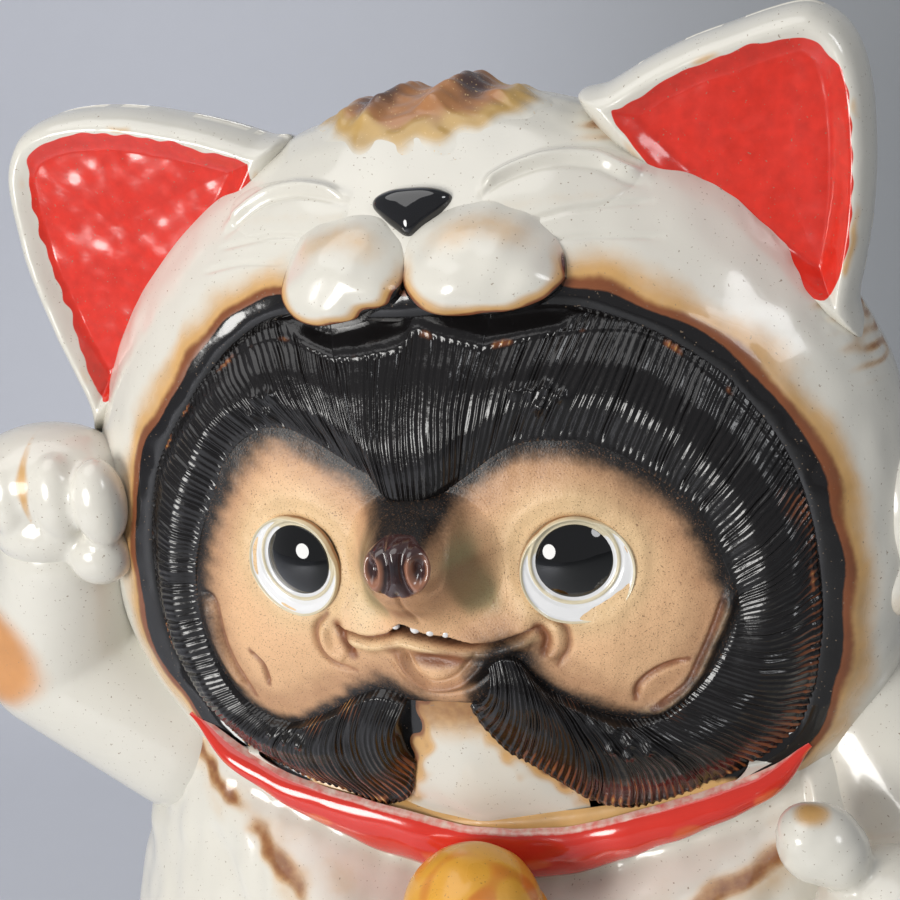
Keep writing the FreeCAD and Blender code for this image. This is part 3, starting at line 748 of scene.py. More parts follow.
# Comb strokes of the fur: where each leaves the hood's lip and where it ends on the face.
STROKES: dict[Side, tuple[tuple[Spot, Spot], ...]] = {
    Side.LEFT: (
        ((15, 53), (8, 25.5)), ((31, 54.6), (21, 32.8)), ((46.3, 53.2), (36, 31.5)), ((57.5, 45.5), (47.5, 24.5)),
        ((68.5, 32.7), (55.5, 16)), ((75.2, 19.3), (60.5, 5)), ((77.8, 5), (62.5, -5)), ((78, -12), (61, -13)),
        ((76.5, -26), (57, -20.5)), ((72, -38.5), (51.5, -26.5)), ((63, -47), (45, -30.5)), ((52, -51.5), (39, -31.5)),
        ((42.5, -54.3), (33, -29)), ((34.5, -54.8), (27.5, -25.5)), ((27.5, -52), (23, -22.3)),
        ((22.5, -46.6), (19.8, -18.5)), ((16.6, -41), (17.2, -14)), ((11.8, -37.4), (15.2, -12.4)),
        ((7.6, -31), (12.8, -12.6)), ((5.2, -25.6), (10.6, -14.6))),
    Side.RIGHT: (
        ((-17.8, 51.8), (-11, 26)), ((-31, 56), (-20, 32)), ((-43, 52.3), (-32, 37)), ((-55, 43), (-44, 33)),
        ((-64.5, 31.5), (-51.5, 22)), ((-71, 18), (-57.5, 11)), ((-73.8, 3), (-61, 1)), ((-74.5, -12), (-62, -10.5)),
        ((-73, -25), (-60, -22.5)), ((-67, -37), (-55.5, -30.5)), ((-57, -46.5), (-49, -34.8)),
        ((-46.5, -50), (-42, -36)), ((-37, -52.8), (-35, -33)), ((-29, -54.5), (-28, -29.5)),
        ((-21.5, -55.5), (-21.5, -25)), ((-14.5, -52), (-15, -22.5)), ((-11, -43), (-9.2, -24.5))),
}
LOCK: tuple[tuple[Spot, Spot], ...] = (
    ((-17.8, 51.8), (-11, 26)), ((-9, 52.5), (-7.4, 21.6)), ((-2.4, 54), (-3.6, 20.4)), ((0.6, 57.2), (-1, 20.3)),
    ((5, 56), (2.6, 21.6)), ((15, 53), (8, 25.5)))
# Small beads of clay pressed on the fur, in four clusters.
BEADS: tuple[Spot, ...] = (
    (-42.4, -32.3), (-38, -33.8), (-46.5, -37.3), (-42.2, -37.8), (-37.8, -37.9), (35.3, -31.3), (34.3, -35.4),
    (37.5, -37.3), (41.7, -36.4), (38.2, -34.2), (-35.8, 43.4), (-32.2, 44.1), (-37.8, 39.6), (-33.7, 39.7),
    (21.6, 43.6), (24.6, 43.4), (27.6, 43.8), (30.5, 41.8), (26.4, 40))
# The edge of the bare face all round, from the strokes' inner ends and the chin.
FACE_EDGE: tuple[Spot, ...] = (
    *[inner for _, inner in STROKES[Side.LEFT]], (6.4, -24.5), (0, -27.6), (-5.5, -26),
    *[inner for _, inner in reversed(STROKES[Side.RIGHT])], *[inner for _, inner in LOCK[1:-1]])
EYES: dict[Side, Spot] = {Side.RIGHT: (-31.2, 7.7), Side.LEFT: (31.0, 7.4)}


@dataclass
class Hood:
    """The white hood, front and back, with the cat face worked into it."""

    lip_drop: float = 3.4
    lip_round: float = 3.4
    lip_start: float = 1.5
    lip_roll: float = 0.5
    wave: float = 0.45
    ripple: float = 0.12
    whisker_groove: Spot = (0.55, -0.55)
    whisker_bank: Spot = (1.6, 0.18)
    brow_ridge: Spot = (1.0, 1.5)
    brow_groove: Spot = (0.7, -0.6)
    brow_drop: float = 1.7
    scrape_depth: float = 0.5
    rows: int = 1100
    # For each burnt colour round the lip: where it starts, where it is full, and how far its edge wanders.
    halo: dict[str, tuple[float, float, float]] = field(default_factory=lambda: {
        "soot": (1.6, -0.6, 0.56), "rust": (4.4, 0.8, 0.91), "gold": (11.5, 1.2, 1.4)})
    scrape: tuple[Spot, ...] = ((38, 93), (58, 84), (76, 66), (88, 42))
    smear: tuple[Spot, ...] = ((36, 93.5), (58, 85), (77, 67), (90, 40))
    back_patch: tuple[Spot, ...] = ((-10, 30), (30, 45), (62, 20), (58, -25), (20, -40), (-5, -10))
    whiskers: tuple[tuple[Spot, ...], ...] = (
        ((-46.8, 73.0), (-33, 75.4), (-20.5, 75.0)), ((-50.9, 68.2), (-40, 70.2), (-29.5, 70.2)),
        ((20, 74.8), (34, 76.6), (48.1, 76.2)), ((27, 71.4), (38, 71.2), (50.4, 69.6)))
    brows: tuple[tuple[Spot, ...], ...] = (
        ((-46, 77.4), (-42, 80.1), (-39, 82), (-34.9, 83.7), (-30.4, 84.6), (-26.4, 84.8), (-20.8, 84.1), (-15, 82.8)),
        ((14.6, 82.2), (16.4, 83.8), (19, 85), (22.3, 85.9), (26.7, 86.5), (31.4, 86.4), (36.9, 85.2), (40.3, 83.5),
         (43.3, 82), (47, 80.9)))

    def marks(self, points: Array, x: Array, z: Array) -> Array:
        """Give the rise of the hood's worked details at places on its front.

        Args:
            points: the places in the object's frame.
            x: the places across.
            z: the places up from the head's centre.

        Returns:
            Heights over the round form.
        """
        rise = self.wave * unevenness(points, 34.0, 3) + self.ripple * unevenness(points, 9.0, 4)
        front = points[..., 1] < 0
        worked = np.zeros(rise.shape)
        for line in self.whiskers:
            worked += ridge(line, x, z, *self.whisker_groove) + ridge(line, x, z, *self.whisker_bank)
        for line in self.brows:
            under = tuple((px, pz - self.brow_drop) for px, pz in line)
            worked += ridge(line, x, z, *self.brow_ridge) + ridge(under, x, z, *self.brow_groove)
        worked += self.streaks(points, x, z)
        return rise + np.where(front, worked, 0.0)

    def streaks(self, points: Array, x: Array, z: Array) -> Array:
        """Give the scraped hollow under the left ear.

        Args:
            points: places in the object's frame.
            x: places across.
            z: places up from the head's centre.

        Returns:
            Heights, at most 0.
        """
        gap, share = line_distance(self.scrape, x, z)
        depth = hump(gap, 4.0) * smooth_step(0, 0.1, share) * smooth_step(0, 0.15, 1 - share)
        return -self.scrape_depth * depth * (1 + 0.6 * unevenness(points, 5.0, 8))

    def masks(self, points: Array, x: Array, z: Array, gap: Array) -> dict[str, Array]:
        """Paint the hood.

        Args:
            points: places in the object's frame.
            x: the places across.
            z: the places up from the head's centre.
            gap: distance outside the lip.

        Returns:
            The masks.
        """
        mottle = unevenness(points, 14.0, 5)
        front = (points[..., 1] < 2).astype(float)
        soot, rust, gold = (front * smooth_step(start, full, gap + mottle * wander)
                            for start, full, wander in self.halo.values())
        blush = front * bulge(x, z, (-88, 22), 9, 22, 0.5)
        bare = 1 - smooth_step(-47, -54, z) * smooth_step(-46, -36, x)
        soot, rust = soot * bare, rust * bare
        streak, _ = line_distance(self.smear, x, z)
        smear = front * hump(streak, 5.0) * (0.55 + 0.6 * unevenness(points * (1, 1, 3), 11.0, 9))
        orange = smooth_step(25, 40, points[..., 1]) * smooth_step(3, -3, outside_of(self.back_patch, x, z))
        rust = np.maximum(rust, np.maximum(0.8 * smear, blush))
        return {"soot": soot, "rust": rust, "gold": np.maximum(gold, 0.95 * smear), "orange": orange}

    def build(self) -> None:
        """Make the hood's two halves."""
        turn = np.linspace(0, 2 * math.pi, self.rows, endpoint=False)
        lip = curve_through(LIP, 2400, closed=True)
        angle = np.arctan2(lip[:, 1], lip[:, 0])
        order = np.argsort(angle)
        reach = np.interp(turn, angle[order] % (2 * math.pi), np.hypot(*lip[order].T), period=2 * math.pi)
        inset = np.maximum(reach - self.lip_round, 10)
        starts = np.arcsin(np.minimum(inset / HEAD.radius, 1))
        share = np.linspace(0, 1, 150) ** 1.05
        tilt = starts[:, None] + (math.pi / 2 - starts[:, None]) * share[None, :]
        self.half("hood_front", turn, tilt, True)
        tilt = np.full((self.rows, 1), math.pi / 2) + (math.pi / 2) * np.linspace(0, 1, 120)[None, :]
        self.half("hood_back", turn, tilt, False)

    def half(self, name: str, turn: Array, tilt: Array, front: bool) -> None:
        """Make one half of the hood.

        Args:
            name: the piece's name.
            turn: angle of each row.
            tilt: angle of each point from the front pole.
            front: whether the half has the lip.
        """
        points, way = HEAD.skin_at(turn[:, None] + 0 * tilt, tilt)
        x, z = points[..., 0], points[..., 2] - HEAD_HEIGHT
        gap = outside_of(LIP, x, z) if front else np.full(x.shape, 30.0)
        rise = self.marks(points, x, z)
        if front:
            away = np.clip((self.lip_start - gap) / (self.lip_round + self.lip_start), 0, 1)
            rise = rise - self.lip_drop * (1 - np.sqrt(np.maximum(1 - away**2, 0)))
            rise += self.lip_roll * hump(gap, 2.2, 2.0)
        Piece(name, HOOD_GLAZE).from_sheets(
            [Sheet(points + way * rise[..., None], self.masks(points, x, z, gap), closed=True)])


@dataclass
class Comb:
    """The potter's comb, drawn through the fur from the hood's lip to the face."""

    pitch: float = 1.6
    depth: float = 0.42
    samples: int = 8
    steps: int = 140
    least_tuck: float = 1.2
    most_tuck: float = 12.0
    lip_overlap: float = 2.2
    collar_height: float = -43.0

    def tucked(self, outer: Array, inner: Array) -> float:
        """Find how far the fur runs on beyond a stroke, to end under the hood's lip.

        Args:
            outer: the stroke's outer end.
            inner: its inner end.

        Returns:
            The distance.
        """
        if outer[1] < self.collar_height:
            return self.least_tuck
        way = (outer - inner) / np.linalg.norm(outer - inner)
        steps = np.linspace(1.0, self.most_tuck, 90)
        under = outside_of(LIP, outer[0] + steps * way[0], outer[1] + steps * way[1]) > -self.lip_overlap
        return float(steps[np.argmax(under)]) if under.any() else self.least_tuck

    def sweep(self, strokes: Sequence[tuple[Spot, Spot]], bow: Sequence[float]) -> tuple[Array, Array, Array, Array]:
        """Lay a grid that follows comb strokes.

        Args:
            strokes: the strokes' outer and inner ends, in order.
            bow: how far each stroke bends sideways in its middle.

        Returns:
            Places across and up, each row's place in the comb's pitch, and the share of each stroke that is
            combed, less than 0 in the smooth band under the lip.
        """
        outer = np.array([stroke[0] for stroke in strokes], float)
        inner = np.array([stroke[1] for stroke in strokes], float)
        extra = np.array([self.tucked(*pair) for pair in zip(outer, inner)])
        fine = 60 * (len(strokes) - 1)
        ends = curve_through(np.hstack([outer, inner, np.asarray(bow, float)[:, None], extra[:, None]]), fine)
        middle = (ends[:, :2] + ends[:, 2:4]) / 2
        lengths = [np.concatenate([[0], np.cumsum(np.linalg.norm(np.diff(line, axis=0), axis=1))])
                   for line in (middle, ends[:, :2])]
        mean = (lengths[0] + lengths[1]) / 2
        teeth = max(3, round(mean[-1] / self.pitch))
        phase = np.linspace(0, teeth, teeth * self.samples + 1)
        index = np.interp(phase / teeth * mean[-1], mean, np.arange(fine))
        ends = np.stack([np.interp(index, np.arange(fine), ends[:, axis]) for axis in range(6)], -1)
        start, stop = ends[:, None, 0:2], ends[:, None, 2:4]
        way = stop - start
        length = np.linalg.norm(way, axis=-1)
        first = -np.maximum(ends[:, 5:6], 0.8) / length
        combed = first + (1 - first) * np.linspace(0, 1, self.steps)[None, :]
        across = np.stack([-way[..., 1], way[..., 0]], -1) / length[..., None]
        bend = 4 * combed * (1 - combed) * ends[:, 4:5] * (combed > 0)
        spots = start + way * combed[..., None] + across * bend[..., None]
        return spots[..., 0], spots[..., 1], phase, combed

    def cut(self, x: Array, z: Array, phase: Array, fade: Array, seed: int) -> Array:
        """Give the depth of the comb's grooves.

        Args:
            x: places across.
            z: places up.
            phase: each row's place in the comb's pitch.
            fade: share of the full depth at each place.
            seed: choice of the unevenness.

        Returns:
            Heights, at most 0.
        """
        flat = spots_at(x, z, 0)
        drift = 0.35 * unevenness(flat, 24.0, seed) + 0.07 * unevenness(flat, 8.0, seed + 5)
        wave = 0.5 - 0.5 * np.cos(2 * math.pi * (phase[:, None] + drift))
        chance = np.random.default_rng(seed).uniform(0.25, 1.35, int(phase[-1]) + 2)
        deep = chance[(np.floor(phase)[:, None] + 0 * x).astype(int)]
        return -self.depth * deep * (1 - wave**1.2) * fade * (1 + 0.3 * unevenness(flat, 7.0, seed + 1))


@dataclass
class Fur:
    """The dark combed fur between the hood and the face."""

    comb: Comb = field(default_factory=Comb)
    inner_drop: float = 2.4
    outer_drop: float = 1.5
    band_drop: float = 1.7
    crest: float = 1.0
    moustache: float = 1.9
    outer_tuck: float = 8.0
    inner_tuck: float = 7.0
    end_tuck: float = 6.0
    bead_width: float = 1.25
    bead_height: float = 1.2

    def profile(self, combed: Array, weight: Array) -> Array:
        """Give the height of the fur from the lip to the face.

        Args:
            combed: share of the combed way in, less than 0 in the smooth band.
            weight: how much the fur stands as a moustache over the face.

        Returns:
            Heights over the round form.
        """
        share = np.clip(combed, 0, 1)
        outer = -self.outer_drop * (1 - smooth_step(0.0, 0.35, share))
        band = -self.band_drop * smooth_step(0.02, 0.2, -combed)
        roof = self.crest * np.sin(math.pi * share) ** 0.8
        low = -self.inner_drop * smooth_step(0.55, 1.0, share)
        step = weight * self.moustache * smooth_step(0.3, 0.85, share) * (1 - smooth_step(0.94, 1.0, share))
        start = 0.22 * hump(combed, 0.022, 0.01)
        return outer + band + roof + low + step + start

    def masks(self, combed: Array, phase: Array, x: Array, z: Array, soft: Array) -> dict[str, Array]:
        """Paint the fur.

        Args:
            combed: share of the combed way in.
            phase: each row's place in the comb's pitch.
            x: places across.
            z: places up.
            soft: how softly the fur fades into the bare face.

        Returns:
            The masks.
        """
        flat = spots_at(x, z, 0)
        crest = (0.5 - 0.5 * np.cos(2 * math.pi * phase[:, None])) ** 1.5 + 0 * x
        cloud = unevenness(flat, 13.0, 31)
        # Painted highlight: a bright rust and gold line along the fur's outer end, by the hood's lip.
        tip_highlight = hump(combed, 0.045, 0.02) * smooth_step(0.0, 0.9, unevenness(flat, 10.0, 32))
        right = smooth_step(58, 74, x) * smooth_step(34, 8, z)
        under = smooth_step(-31, -44, z)
        outer = smooth_step(0.62, 0.05, combed)
        rust = crest * outer * np.clip(0.9 * under + 0.85 * right + 0.35 * cloud - 0.1, 0, 1.2)
        inner = 1 - soft
        rust = np.maximum(rust, inner * crest * smooth_step(0.6, 0.95, combed) * smooth_step(-0.5, 0.6, cloud) * 0.8)
        gold = inner * crest * smooth_step(0.75, 0.98, combed) * 0.8 * smooth_step(0, 0.8, cloud)
        return {"rust": np.clip(rust + 0.8 * tip_highlight, 0, 1),
                "gold": np.clip(0.8 * tip_highlight * crest + 0.4 * rust * under + gold, 0, 1),
                "tan": np.clip(smooth_step(0.9, 1.06, combed + 0.03 * cloud) * soft * 0.45 * crest, 0, 1)}

    def sheet(self, strokes: Sequence[tuple[Spot, Spot]], bow: Sequence[float], seed: int,
              heavy: Sequence[float], soft: Sequence[float], lift: float = 0.0) -> Sheet:
        """Comb one piece of fur.

        Args:
            strokes: the strokes' outer and inner ends, in order.
            bow: sideways bend of each stroke.
            seed: choice of the unevenness.
            heavy: for each stroke how much it stands over the face.
            soft: for each stroke how softly it fades into the face.
            lift: extra height of the piece.

        Returns:
            The piece's grid.
        """
        x, z, phase, combed = self.comb.sweep(strokes, bow)
        rows = np.linspace(0, len(strokes) - 1, len(phase))
        weight = np.interp(rows, np.arange(len(strokes)), heavy)[:, None]
        gentle = np.interp(rows, np.arange(len(strokes)), soft)[:, None]
        top = smooth_step(44, 50, z) * smooth_step(34, 26, np.abs(x - 2))
        band = smooth_step(0.0, 0.05, combed + 0.16 * (1 - top))
        fade = band * (1 - (0.3 + 0.6 * gentle) * smooth_step(0.85, 1.0, combed))
        rise = lift + self.profile(combed, weight) + self.comb.cut(x, z, phase, fade, seed)
        rise += 0.2 * unevenness(spots_at(x, z, 0), 15.0, seed + 2)
        for spot in BEADS:
            rise += bulge(x, z, spot, self.bead_width, self.bead_width, self.bead_height)
        points = HEAD.front_at(x, z, rise)
        first = HEAD.front_at(x[:, :1], z[:, :1], -self.outer_tuck + 0 * x[:, :1])
        last = HEAD.front_at(x[:, -1:], z[:, -1:], -self.inner_tuck + 0 * x[:, -1:])
        points = np.concatenate([first, points, last], axis=1)
        sunk = np.array([0.0, self.end_tuck, 0.0])
        points = np.concatenate([points[:1] + sunk, points, points[-1:] + sunk])
        padded = {name: np.pad(mask, 1, mode="edge") for name, mask in
                  self.masks(combed, phase, x, z, gentle).items()}
        return Sheet(points, padded)

    def build(self) -> None:
        """Make the two fur rolls, the forelock and the two chin tufts."""
        for side in Side:
            strokes = STROKES[side]
            count = len(strokes)
            late = np.arange(count)
            bow = -side.value * np.interp(late, (8, 13, 15, count - 1), (0, 4, 4.5, 2.5))
            heavy = np.interp(late, (7, 9, 11, 12, count - 1), (0, 0.35, 0.8, 1, 1))
            soft = np.interp(late, (7, 9, 11, 13), (1, 0.5, 0.15, 0))
            roll = self.sheet(strokes[:12], bow[:12], 11, heavy[:12], soft[:12])
            Piece(f"fur_roll_{side.label}", FUR_GLAZE).from_sheets([roll])
            tuft = self.sheet(strokes[11:], bow[11:], 17, heavy[11:], soft[11:], 0.3)
            Piece(f"chin_tuft_{side.label}", FUR_GLAZE).from_sheets([tuft])
        lock = self.sheet(LOCK, [0, -0.5, -0.3, 0.2, 0.5, 0], 23, [0.2, 0.9, 1, 1, 0.9, 0.2], [0.2, 0, 0, 0, 0, 0.2],
                          0.25)
        Piece("forelock", FUR_GLAZE).from_sheets([lock])


@dataclass
class FaceForm:
    """Heights and colours of the whole face, which the plate, the snout, the nose and the jaw share."""

    tip: Spot = (-1.2, 14.3)
    reach: float = 17.0
    sunk: float = 2.5
    mouth_middle: float = -0.8
    mouth: tuple[Spot, ...] = ((-23.5, -7.4), (-19, -8.3), (-15.4, -8.8), (-11.4, -8.1), (-7.4, -7.2), (-2, -8.1),
                               (4.5, -9.5), (12.1, -9.5), (17, -8.4), (21.6, -6.9))
    chin: tuple[Spot, ...] = ((-9.6, -11.5), (-6.6, -17), (-2.1, -20.3), (4.9, -18.6), (11.8, -12.4))
    # Each crease: its line, its half width, its height, and the width and strength of the brown in it, which is partly
    # stain and partly painted shade in the hollow.
    creases: tuple[tuple[tuple[Spot, ...], float, float, float, float], ...] = (
        (((-22.8, -7.0), (-21.8, -10.2), (-20.6, -14)), 1.1, -1.5, 1.9, 1.0),
        (((-25.5, -4.5), (-28.6, -8), (-28.6, -13), (-26, -17), (-20.5, -18.3)), 0.8, -0.9, 1.0, 0.7),
        (((22.0, -6.6), (23.6, -9.5), (22.6, -13.2)), 1.0, -1.3, 1.7, 0.9),
        (((23.5, -3.6), (27.8, -7), (28, -12), (25.2, -16.4)), 0.8, -0.9, 1.0, 0.7),
        (((-61, -3.5), (-56.9, -5), (-56.4, -14.1), (-54.6, -21.8), (-50.6, -29.7)), 0.8, -0.8, 1.2, 0.8),
        (((-48.3, -16.6), (-45.5, -20.1), (-45.7, -25.5)), 0.8, -0.9, 1.1, 0.8),
        (((52.3, -17.4), (46.2, -19), (41.8, -22.3), (40.6, -26.2)), 0.8, -1.2, 1.1, 0.9),
        (((60.6, -3), (58.6, -8.5), (55, -16.5), (51, -23.5), (44, -28.5)), 0.7, -1.2, 1.1, 1.0))
    chin_stain_and_shade: Spot = (2.6, 0.7)
    rolls: tuple[tuple[tuple[Spot, ...], float, float], ...] = (
        (((62.0, -1.5), (60.2, -7.5), (56.9, -14.5), (53.2, -21.6), (48.2, -26.8), (42, -30)), 1.5, 1.7),
        (((-60, -6), (-59.0, -14), (-57, -22), (-53.0, -28)), 1.4, 0.9),
        (((-27, -7.5), (-26.5, -13), (-22.5, -15.8)), 1.3, 1.0), (((26, -6), (25.8, -11.5), (23.5, -14.5)), 1.3, 1.0))

    def mouth_height(self, x: Array, z: Array) -> Array:
        """Give how far places lie above the mouth line."""
        line = curve_through(self.mouth, 200)
        return z - np.interp(x, line[:, 0], line[:, 1])

    @staticmethod
    def slot(x: Array) -> Array:
        """Give how far the upper lip lifts over the teeth."""
        return 3.0 * hump(x, 3.2, -5.6) + 1.7 * hump(x, 5.0, 2.5)

    def snout_share(self, x: Array, z: Array) -> Array:
        """Give how far places are from the snout's tip, as a share of the way to its foot.

        Args:
            x: places across.
            z: places up.

        Returns:
            Shares, 1 at the foot.
        """
        across, up = x - self.tip[0], z - self.tip[1]
        turn = np.arctan2(up, across)
        return np.hypot(across, up) / (14.6 - 5.4 * np.sin(turn) + 0.4 * np.cos(2 * turn))

    def snout_form(self, x: Array, z: Array) -> Array:
        """Give how far the snout stands ahead of the face."""
        share = np.clip((1.14 - self.snout_share(x, z)) / 0.78, 0, 1)
        return self.reach * (0.25 * share**1.6 + 0.75 * smooth_step(0, 1, share))

    @staticmethod
    def nostril(across: Array, up: Array) -> Array:
        """Give how far places are from a nostril's middle, 1 at its edge."""
        return np.hypot((across - 5.1) / 2.0, (up + 0.6) / 3.7)

    def nose_relief(self, x: Array, z: Array) -> Array:
        """Give the height of the nose and its nostrils over the snout.

        Args:
            x: places across.
            z: places up.

        Returns:
            The heights.
        """
        across, up = np.abs(x - self.tip[0]), z - self.tip[1]
        body = 1.0 * np.sqrt(np.clip(1 - (across / 7.9) ** 2 - (up / 7.1) ** 2, 0, 1))
        ring = self.nostril(across, up)
        wings = 0.9 * hump(ring, 0.36, 1.0) - 1.6 * hump(ring, 0.62)
        wings -= 0.55 * hump(ring, 0.3, 1.8)
        bridge = 0.9 * hump(across, 1.7) * smooth_step(-6.5, -3, up) * smooth_step(7, 4.5, up)
        groove = -0.8 * hump(across, 0.7) * smooth_step(-4.5, -7, up) * smooth_step(-19, -14, up)
        return body + wings * (across < 9.5) * smooth_step(8, 6, np.abs(up)) + bridge + groove

    def mouth_relief(self, x: Array, z: Array) -> Array:
        """Give the height of the lips, the tooth slot and the chin.

        Args:
            x: places across.
            z: places up.

        Returns:
            The heights.
        """
        above = self.mouth_height(x, z)
        wide = smooth_step(24.5, 19.5, np.abs(x - self.mouth_middle))
        slot = self.slot(x)
        open_part = smooth_step(-0.5, 0.1, above) * smooth_step(slot + 0.35, slot - 0.35, above) * (slot > 0.25)
        rise = 1.9 * smooth_step(slot - 0.35, slot + 0.7, above) * hump(above, 4.5, slot)
        rise = rise - 2.2 * open_part - 1.5 * hump(above, 0.6)
        rise += 1.7 * hump(above, 1.6, -2.2)
        rise *= wide
        rise += bulge(x, z, (0, -9), 20, 11, 2.4) + bulge(x, z, (0.5, -17.5), 10.5, 7.5, 2.6)
        rise += bulge(x, z, (1, -12.6), 7.5, 1.7, -1.5)
        rise += ridge(self.chin, x, z, 1.0, 1.3) - 3.2 * smooth_step(-24.5, -28, z) * hump(x, 13)
        for shift in (-2.0, 2.0):
            rise += ridge([(px * (1 + 0.09 * shift), pz - shift) for px, pz in self.chin], x, z, 0.7, -0.7)
        return rise

    def relief(self, x: Array, z: Array) -> Array:
        """Give the face's heights over the round form, but for the snout and the nose.

        Args:
            x: places across.
            z: places up.

        Returns:
            The heights.
        """
        flat = spots_at(x, z, 0)
        rise = -self.sunk + 0.25 * unevenness(flat, 17.0, 41) + 0.05 * unevenness(flat, 3.5, 42)
        for line, width, height, *_ in self.creases + self.rolls:
            rise += ridge(line, x, z, width, height)
        rise += bulge(x, z, (-38, -12), 13, 10, 1.5) + bulge(x, z, (39, -11), 13, 10, 1.5)
        rise += bulge(x, z, (-31, 24), 13, 5, 0.9) + bulge(x, z, (31, 22), 13, 5, 0.9)
        rise += self.mouth_relief(x, z)
        for spot in EYES.values():
            gap = distance(spot, x, z)
            rise += -1.4 * smooth_step(11.0, 8.5, gap) + 0.3 * hump(gap, 1.4, 14.2)
        return rise

    def surface(self, x: Array, z: Array, over: Array | float = 0.0) -> Array:
        """Find points on the face.

        Args:
            x: places across.
            z: places up.
            over: how far over the face they lie.

        Returns:
            Points in the object's frame.
        """
        points = HEAD.front_at(x, z, self.relief(x, z) + over)
        points[..., 1] -= self.snout_form(x, z) + self.nose_relief(x, z)
        return points

    def masks(self, x: Array, z: Array) -> dict[str, Array]:
        """Paint the face.

        Args:
            x: places across.
            z: places up.

        Returns:
            The masks.
        """
        flat = spots_at(x, z, 0)
        inside = -outside_of(FACE_EDGE, x, z) + 0.6 * unevenness(flat, 6.0, 45)
        width = 9.0 + 2.2 * unevenness(flat, 22.0, 46)
        lower = smooth_step(-14, -26, z)
        soot = smooth_step(1, -0.15, inside / (width * (1 - 0.4 * lower)))
        # Painted shadow: black laid on the snout's top, under the forelock's tip.
        soot = np.maximum(soot, 1.5 * bulge(x, z, (-1.0, 22.5), 9.0, 7.5, 1))
        # Black under the chin, partly painted shade where the face turns under.
        soot = np.maximum(soot, bulge(x, z, (0.5, -28.5), 9.0, 2.5, 0.5))
        above = self.mouth_height(x, z)
        slot = self.slot(x)
        mouth = hump(above, 0.8) * (np.abs(x - self.mouth_middle) < 23)
        # Painted shade: black and brown laid in the tooth slot under the upper lip; the brown along the mouth line is
        # partly painted shade of its groove.
        slot_shade = smooth_step(-0.7, 0.0, above) * smooth_step(slot + 0.4, slot - 0.3, above) * (slot > 0.3)
        soot = np.maximum(soot, 0.85 * slot_shade)
        rust = np.maximum(mouth, smooth_step(-0.6, 0.2, above) * smooth_step(slot + 0.8, slot, above) * (slot > 0.25))
        # Brown along the creases and the chin's fold: partly stain, partly painted shade in the hollows.
        for line, *_, reach, strength in (*self.creases, (self.chin, *self.chin_stain_and_shade)):
            gap, _ = line_distance(line, x, z)
            rust = np.maximum(rust, strength * hump(gap, reach))
        # Brown near the fur's edge, round the nose's foot, in the chin's recess and under the chin; round the nose's
        # foot, in the recess and under the chin it is partly painted shade.
        nose_foot = smooth_step(2.2, 0.0, np.hypot(x / 8.0, (z - 14) / 7.3) - 1) * smooth_step(1, -4, z - 14)
        for stain in (0.5 * smooth_step(15.0, 5.0, inside), bulge(x, z, (1, -12.8), 8.5, 2.3, 1.2),
                      bulge(x, z, (-4, 1.5), 9.0, 4.0, 0.7), 0.55 * nose_foot,
                      0.5 * smooth_step(-22, -27, z) * hump(x, 12)):
            rust = np.maximum(rust, stain)
        # The pale layer is partly a yellowish tone near the eyes and the muzzle, and partly a painted highlight along
        # the crest of the statue's left cheek roll and on the lower lip's roll.
        crest, _ = line_distance(self.rolls[0][0], x, z)
        pale = np.maximum(hump(crest, 1.6) * 0.95, bulge(x, z, (-16, 0), 6, 12, 0.9))
        for spot in EYES.values():
            gap = distance(spot, x, z)
            pale = np.maximum(pale, 0.7 * hump(gap, 7.0, 12.0))
        pale = np.maximum(pale, 0.75 * hump(above, 1.4, -2.2) * (np.abs(x) < 22))
        pale = np.maximum(pale, bulge(x, z, (20, 2), 8, 6, 0.6))
        side = np.abs(x)
        # Painted shade: a dark olive tone laid on the sides of the snout.
        olive = smooth_step(5.0, 9.5, side) * smooth_step(17.5, 11.0, side + 0.25 * (z - 5)) * smooth_step(-8, 3, z)
        olive = olive * smooth_step(26, 14, z)
        return {"soot": np.clip(soot, 0, 1), "rust": rust, "pale": pale, "olive": olive}


FACE = FaceForm()


def patch_grid(outline: Sequence[Spot], middle: Spot, rows: int, columns: int, power: float = 1.0) -> tuple[Array, ...]:
    """Lay a round grid from a middle to an outline.

    Args:
        outline: spots of the closed outline.
        middle: the grid's middle.
        rows: points round it.
        columns: points from the middle out.
        power: how the points crowd toward the outline, if over 1 toward the middle.

    Returns:
        Places across and up, and the share of the way out.
    """
    line = curve_through(outline, 40 * len(outline), closed=True)
    line = evenly(np.vstack([line, line[:1]]), rows + 1)[:-1]
    share = np.linspace(0, 1, columns)[None, :] ** power
    x = middle[0] + (line[:, :1] - middle[0]) * share
    z = middle[1] + (line[:, 1:] - middle[1]) * share
    return x, z, share + 0 * x


def oval_spots(middle: Spot, across: float, up: float, count: int = 16) -> list[Spot]:
    """Give the spots of an oval outline."""
    return [(middle[0] + across * math.cos(a), middle[1] + up * math.sin(a))
            for a in np.linspace(0, 2 * math.pi, count, endpoint=False)]


